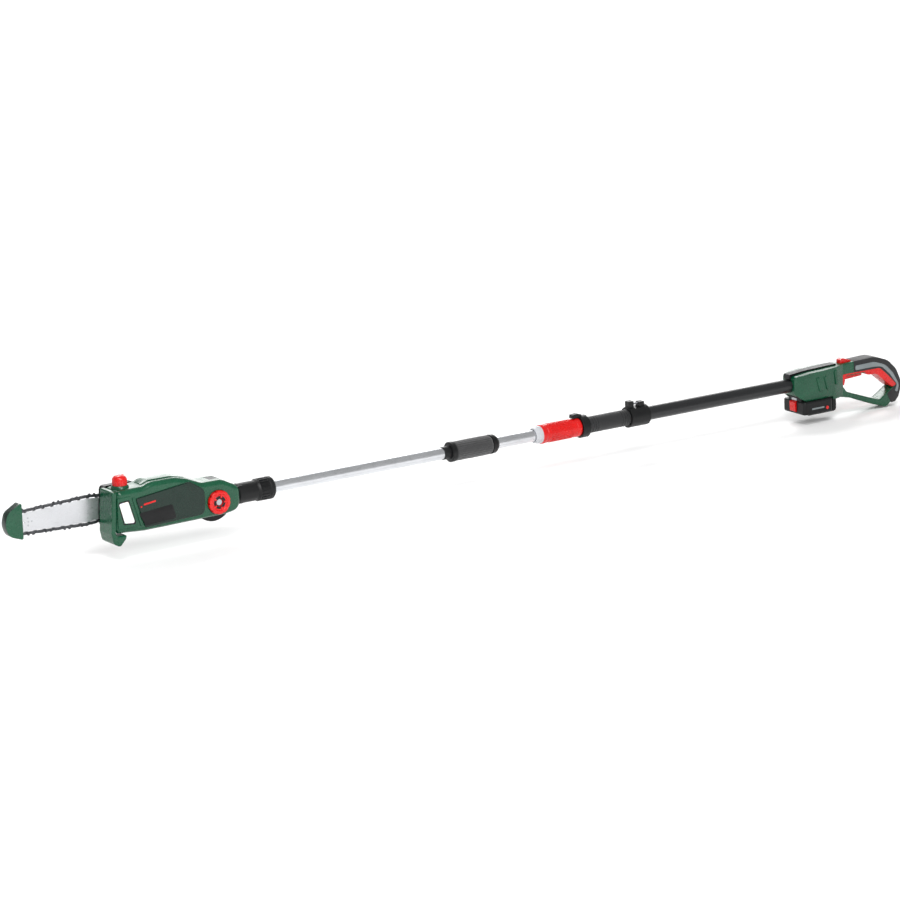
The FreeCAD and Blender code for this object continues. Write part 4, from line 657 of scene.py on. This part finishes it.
def makeTipGuard(v):
    # its two broad faces point across and have many corners
    across, manyCorners = 0.9, 8
    piece = inHead("tipGuard", v["outline"], v["low"], v["high"])
    alone(piece)
    bpy.ops.object.mode_set(mode="EDIT")
    bpy.ops.mesh.select_all(action="DESELECT")
    shape = bmesh.from_edit_mesh(piece.data)
    for face in shape.faces:
        face.select = abs(face.normal.y) > across
    bmesh.update_edit_mesh(piece.data)
    bpy.ops.mesh.inset(thickness=v["rim"] / 1000, use_individual=True)
    shape = bmesh.from_edit_mesh(piece.data)
    for side in (-1, 1):
        bpy.ops.mesh.select_all(action="DESELECT")
        for face in shape.faces:
            face.select = face.normal.y * side > across and len(face.verts) > manyCorners
        bmesh.update_edit_mesh(piece.data)
        bpy.ops.transform.translate(value=(0, -side * v["sink"] / 1000, 0))
    bpy.ops.object.mode_set(mode="OBJECT")
    hollow = inHead("tipHollow", v["hollow"], v["low"] + v["wall"], v["high"] - v["wall"])
    combine(piece, "DIFFERENCE", hollow)
    piece.data.materials.append(finishes["shell_green"])
    piece.data.materials.append(finishes["panel_green"])
    for face in piece.data.polygons:
        broad = abs(face.normal.y) > across and len(face.vertices) > manyCorners
        face.material_index = 0 if broad else 1
    done(bevelled(piece, v["edge"]), "head", "shell_green", "tip_guard")


def makeRivets(v):
    barLow, barHigh = (corner[1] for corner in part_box("guide_bar"))
    rise = middleOf("drive_sprocket", 2)
    rivets = []
    for side, face in ((-1, barLow), (1, barHigh)):
        profile = [(side * out, radius) for out, radius in v["profile"]]
        for x, z in v["places"]:
            centre = ((headAt + x) / 1000, face, rise + z / 1000)
            rivets.append(spun("barRivets", profile, centre, "Y", 20))
    done(join(*rivets), "head", "bar_steel", finish=finishes["zinc_steel"])


def makePanel(v):
    outline = inHead("sidePanel", v["outline"], *v["depth"])
    done(bevelled(outline, v["edge"], 4), "head", "panel_green", "side_panel")
    low = inHead("panelInsert", v["low"], *v["insertDepth"])
    done(bevelled(low, v["insertEdge"], 2), "head", "black_plastic")
    stripe = inHead("panelStripe", v["stripe"], *v["insertDepth"])
    dot = inHead("stripeDot", v["dot"], *v["insertDepth"])
    done(bevelled(join(stripe, dot), v["insertEdge"], 2), "head", "red_plastic")
    pillar = inHead("pillarRib", v["pillar"], *v["pillarDepth"])
    done(bevelled(pillar, v["pillarEdge"], 4), "head", "shell_green")


def makeWindow(v):
    surround = inHead("windowSurround", v["surround"], *v["surroundDepth"])
    combine(surround, "DIFFERENCE", inHead("windowWay", v["opening"], *v["openingDepth"]))
    done(bevelled(surround, v["surroundEdge"]), "head", "black_plastic", "window_bezel",
         finish=finishes["shell_green"])
    rim = inHead("windowFrame", v["frame"], *v["frameDepth"])
    combine(rim, "DIFFERENCE", inHead("windowWay", v["opening"], *v["openingDepth"]))
    done(bevelled(rim, v["frameEdge"]), "head", "black_plastic")


def makeCrest(v):
    ridge = inHead("topRidge", v["ridge"], *v["ridgeDepth"])
    done(bevelled(ridge, v["ridgeEdge"], 4), "head", "shell_green")
    # black slots that paint the shade at the step behind the side panel
    slots = []
    for x, z in v["shadeSlotPlaces"]:
        corners = [(x + a, z + b, *radius) for a, b, *radius in v["shadeSlot"]]
        slots.append(bevelled(inHead("topShadeSlots", corners, *v["shadeSlotDepth"]), v["shadeSlotEdge"], 2))
    done(join(*slots), "head", "black_plastic")


makeTipGuard(guard)
makeRivets(rivet)
makePanel(panel)
makeWindow(window)
makeCrest(crest)
print("head made")

# tilt lock knob
knob = {"radius": 23, "front": -37, "back": -26.5, "hub": 12.5, "bore": 7.5, "spokes": 5,
        "notches": 10, "notchOut": 0.9, "notchRadius": 2.6, "notchDepth": (-40, -20), "spokeEdge": 0.4,
        "spoke": [(9, -1.6, 0.6), (16.5, -2.3, 0.6), (16.5, 2.3, 0.6), (9, 1.6, 0.6)]}


def makeKnob(v):
    centre = (headAt / 1000, 0, 0)
    r, f, hub, bore = v["radius"], v["front"], v["hub"], v["bore"]
    profile = [(v["back"], bore), (v["back"], r - 0.6), (f + 2.5, r), (f + 1, r - 0.6), (f + 0.2, r - 2.2),
               (f, r - 4.5), (f + 0.2, r - 6.6), (f + 1.6, r - 7.8), (f + 2, hub), (f + 2, bore),
               (v["back"], bore)]
    ring = spun("tiltKnob", profile, centre, "Y", 96)
    start, end = v["notchDepth"]
    notch = [(start, 0), (start, v["notchRadius"]), (end, v["notchRadius"]), (end, 0)]
    out = (r + v["notchOut"]) / 1000
    for i in range(v["notches"]):
        turn = 2 * math.pi * i / v["notches"]
        spot = (headAt / 1000 + out * math.cos(turn), 0, out * math.sin(turn))
        combine(ring, "DIFFERENCE", spun("notch", notch, spot, "Y", 16))
    spoke = bevelled(inHead("spoke", v["spoke"], f + 0.7, f + 2.6), v["spokeEdge"], 2, 35)
    spokes = copies(spoke, v["spokes"], centre, "Y")
    done(ring, "tilt_button", "red_plastic", "tilt_lock_button")
    done(spokes, "tilt_button", "red_plastic")
    profile = [(f + 2.4, bore), (f + 1.3, bore + 0.5), (f + 1.3, hub - 0.6), (f + 1.9, hub), (f + 2.4, hub),
               (f + 2.4, bore)]
    done(spun("knobHub", profile, centre, "Y", 64), "tilt_button", "black_plastic")


# oil cap
cap = {"radius": 13.4, "ribs": 18, "bore": 9.9, "boreDepth": 9.5, "ribEdge": 0.25, "gripEdge": 0.7,
       "rib": [(-0.6, -0.9), (0.75, -0.55, 0.3), (0.75, 0.55, 0.3), (-0.6, 0.9)],
       "grip": [(-9, -1.8, 1.5), (9, -1.8, 1.5), (9, 1.8, 1.5), (-9, 1.8, 1.5)]}


def makeCap(v):
    low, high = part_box("oil_cap")
    centre = (middleOf("oil_cap", 0), middleOf("oil_cap", 1), 0)
    middle = (centre[0] * 1000, centre[1] * 1000)
    bottom, top = low[2] * 1000, high[2] * 1000
    r, bore = v["radius"], v["bore"]
    floor = bottom + v["boreDepth"]
    shape = [(bottom, bore), (bottom, r), (top - 8, r), (top - 5, r - 0.7), (top - 2.4, r - 3),
             (top - 0.8, r - 6.4), (top - 0.4, 3), (top - 0.4, 0), (floor, 0), (floor, bore), (bottom, bore)]
    lid = spun("oilCap", shape, centre, "Z", 96)
    outline = [(r + out, width, *radius) for out, width, *radius in v["rib"]]
    rib = plate("rib", outline, bottom + 3, top - 6.5, "Z", middle)
    ribs = copies(bevelled(rib, v["ribEdge"], 2, 35), v["ribs"], centre, "Z")
    ribs.name = ribs.data.name = "capRibs"
    bar = plate("capGrip", v["grip"], top - 3, top, "Z", middle)
    done(lid, "cap", "red_plastic", "oil_cap")
    done(join(ribs, bevelled(bar, v["gripEdge"], 3, 35)), "cap", "red_plastic")
    boss = [(bottom - 3, r + 4), (bottom - 1, r + 3.6), (bottom + 2.2, r + 2.6), (bottom + 3.6, r + 1.4),
            (bottom + 3.6, r + 0.5), (bottom - 3, r + 0.5), (bottom - 3, r + 4)]
    done(spun("capBoss", boss, centre, "Z", 72), "head", "shell_green")


makeKnob(knob)
makeCap(cap)

# pole
poleAxis = (0, 0, 0)
sleeve = {"bore": 15.95, "flare": 0.4, "ribs": 30, "ribWidth": 1.7, "mouthBore": 11.85}
collar = {"bore": 11.6, "socket": 17.5, "ribs": 20, "ribWidth": 2.2}
frontSleeve = {"bore": 14.05, "ringsInFront": (6, 12, 18), "ringsBehind": (22, 16, 10), "ringDepth": 0.8}
foam = {"bore": 11.55, "flutes": 26, "stations": 40, "sides": 208, "endSag": 0.35, "fluteDepth": 0.42,
        "wear": 0.12, "wearAlong": (310, 90), "wearAround": (3, 5), "skin": 3, "fade": 6}


def ribbed(name, count, inner, outer, start, end, width):
    rib = plate(name, [(start, inner), (start + 1.5, outer, 0.6), (end - 1.5, outer, 0.6), (end, inner)],
                -width / 2, width / 2, "Y")
    bevelled(rib, 0.3, 2, 40)
    return copies(rib, count, poleAxis, "X")


def makeSleeve(v):
    front, rear, r = turnedExtent("lock_sleeve")
    r -= v["flare"]
    bore = v["bore"]
    profile = [(front, bore), (front, r - 0.9), (front + 1.2, r + 0.1), (front + 5, r + v["flare"]),
               (front + 9, r - 0.2), (front + 10, r - 1), (front + 11.5, r - 1), (front + 12.5, r - 0.3),
               (front + 15, r - 0.5), (rear - 16, r - 0.5), (rear - 13, r - 0.2), (rear - 12, r - 0.9),
               (rear - 10.5, r - 0.9), (rear - 9.5, r - 0.1), (rear - 2, r), (rear, r - 0.8), (rear, bore),
               (front, bore)]
    done(spun("twistSleeve", profile, poleAxis, "X", 96), "twist_sleeve", "red_plastic", "lock_sleeve")
    ribs = ribbed("sleeveRibs", v["ribs"], r - 1.2, r + 0.2, front + 17, rear - 19, v["ribWidth"])
    done(ribs, "twist_sleeve", "red_plastic")


# the mouth ring is a seal, and its pale colour is partly a painted highlight of the bright aluminium tube
# seen inside the sleeve's mouth
def makeMouth(v):
    front, rear, r = turnedExtent("sleeve_mouth_ring")
    bore = v["mouthBore"]
    profile = [(rear, bore), (front + 1.5, bore), (front, bore + 0.8), (front, bore + 2.3),
               (front + 1, bore + 3.4), (front + 7, r - 1.2), (front + 8.2, r - 1.2), (front + 9, r - 0.4),
               (rear, r), (rear, bore)]
    done(spun("mouthRing", profile, poleAxis, "X", 96), "twist_sleeve", "ring_grey", "sleeve_mouth_ring")


def makeCollar(v):
    front, rear, r = turnedExtent("socket_collar")
    socket, bore = v["socket"], v["bore"]
    profile = [(front, socket), (front, r - 3), (front + 3, r - 0.9), (front + 5, r - 0.2),
               (front + 7, r - 1.4), (rear - 12, r - 1.4), (rear - 10, r), (rear - 4, r), (rear - 1, r - 2.4),
               (rear, r - 4.6), (rear, bore), (rear - 4, bore), (rear - 4, socket), (front, socket)]
    done(spun("socketCollar", profile, poleAxis, "X", 96), "upper_pole", "black_plastic", "socket_collar")
    ribs = ribbed("collarRibs", v["ribs"], r - 2.4, r - 0.3, front + 7, rear - 12, v["ribWidth"])
    done(ribs, "upper_pole", "black_plastic")


def makeFrontSleeve(v):
    front, rear, r = turnedExtent("front_grip_sleeve")
    bore, floor = v["bore"], r - v["ringDepth"]
    starts = [front + reach for reach in v["ringsInFront"]] + [rear - reach for reach in v["ringsBehind"]]
    profile = [(front, bore), (front, r)]
    for start in starts:
        profile += [(start, r), (start + 0.6, floor), (start + 2, floor), (start + 2.6, r)]
    profile += [(rear - 1.5, r), (rear, r - 1), (rear, bore), (front, bore)]
    done(spun("frontSleeve", profile, poleAxis, "X", 96), "handle", "soft_black", "front_grip_sleeve")


def makeFoam(v):
    front, rear, r = turnedExtent("foam_grip")
    bore, span, count = v["bore"], rear - front, v["stations"]
    along, around = v["wearAlong"], v["wearAround"]
    profile = [(front, bore), (front, r - 2.6), (front + 0.6, r - 1.3), (front + 1.8, r - 0.5)]
    profile += [(front + 3 + (span - 6) * i / count, r) for i in range(count + 1)]
    profile += [(rear - 1.8, r - 0.5), (rear - 0.6, r - 1.3), (rear, r - 2.6), (rear, bore), (front, bore)]
    piece = spun("foamGrip", profile, poleAxis, "X", v["sides"])
    for point in piece.data.vertices:
        x, y, z = point.co
        size = math.hypot(y, z)
        if size < (r - v["skin"]) / 1000:
            continue
        turn = math.atan2(z, y)
        crown = 1 - ((x * 1000 - (front + rear) / 2) / (span / 2)) ** 2
        flute = 0.5 - 0.5 * math.cos(turn * v["flutes"])
        sag = v["endSag"] * (1 - crown) + v["fluteDepth"] * (flute ** 3) * min(1, crown * v["fade"])
        wave = v["wear"] * math.sin(x * along[0] + around[0] * turn)
        wave *= math.sin(turn * around[1] + x * along[1])
        pressed = size - (sag + v["wear"] + wave) / 1000
        point.co.y, point.co.z = y * pressed / size, z * pressed / size
    done(piece, "upper_pole", "foam_black", "foam_grip", smooth=60)


makeSleeve(sleeve)
makeMouth(sleeve)
makeCollar(collar)
makeFrontSleeve(frontSleeve)
makeFoam(foam)
print("pole made")

# lead from the motor, which ends in a bush in front of the knuckle's disc, in mm from the tilt pivot
lead = {"start": -112.8, "end": -43, "height": 14.5, "radius": 2.5, "bush": 4, "bushLength": 8, "edge": 1}


def makeLead(v):
    start, end, radius, bush, edge = (v[k] for k in ("start", "end", "radius", "bush", "edge"))
    step = end - v["bushLength"]
    profile = [(start, 0), (start, radius), (step, radius), (step, bush), (end - edge, bush),
               (end, bush - edge), (end, 0)]
    piece = spun("tiltLead", profile, (headAt / 1000, 0, v["height"] / 1000))
    done(piece, "head", "cable_black", "tilt_lead")
    print("lead made")


makeLead(lead)

# battery, with painted highlights: pale stripes along its sides and a pale plate over the release button
battery = {"stripe": [(424, -47, 1), (456, -47, 1), (456, -50.5, 1), (424, -50.5, 1)],
           "sideHighlightHalf": 0.35, "sideHighlightEdge": 0.25, "buttonHighlightEdge": 0.4,
           # the plate over the release button is a painted highlight of the button's glossy top
           "buttonHighlight": [(-8, -32.6, 1), (8, -32.6, 1), (8, -27.6, 1), (-8, -27.6, 1)],
           "buttonHighlightDepth": (405.2, 406.4)}


def makeBattery(v):
    half = v["sideHighlightHalf"]
    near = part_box("battery_lower_case")[0][1] * 1000
    # pale stripes on both sides of the battery, a painted highlight
    highlightStripes = [plate("batteryHighlightStripe", v["stripe"], face - half, face + half) for face in (-near, near)]
    done(bevelled(join(*highlightStripes), v["sideHighlightEdge"], 2), "battery", "ring_grey", finish=finishes["grip_grey"])
    # a pale plate over the release button's top, a painted highlight
    buttonHighlight = plate("buttonHighlightPlate", v["buttonHighlight"], *v["buttonHighlightDepth"], "X")
    done(bevelled(buttonHighlight, v["buttonHighlightEdge"], 2), "battery", "ring_grey")


makeBattery(battery)
print("battery dressed")
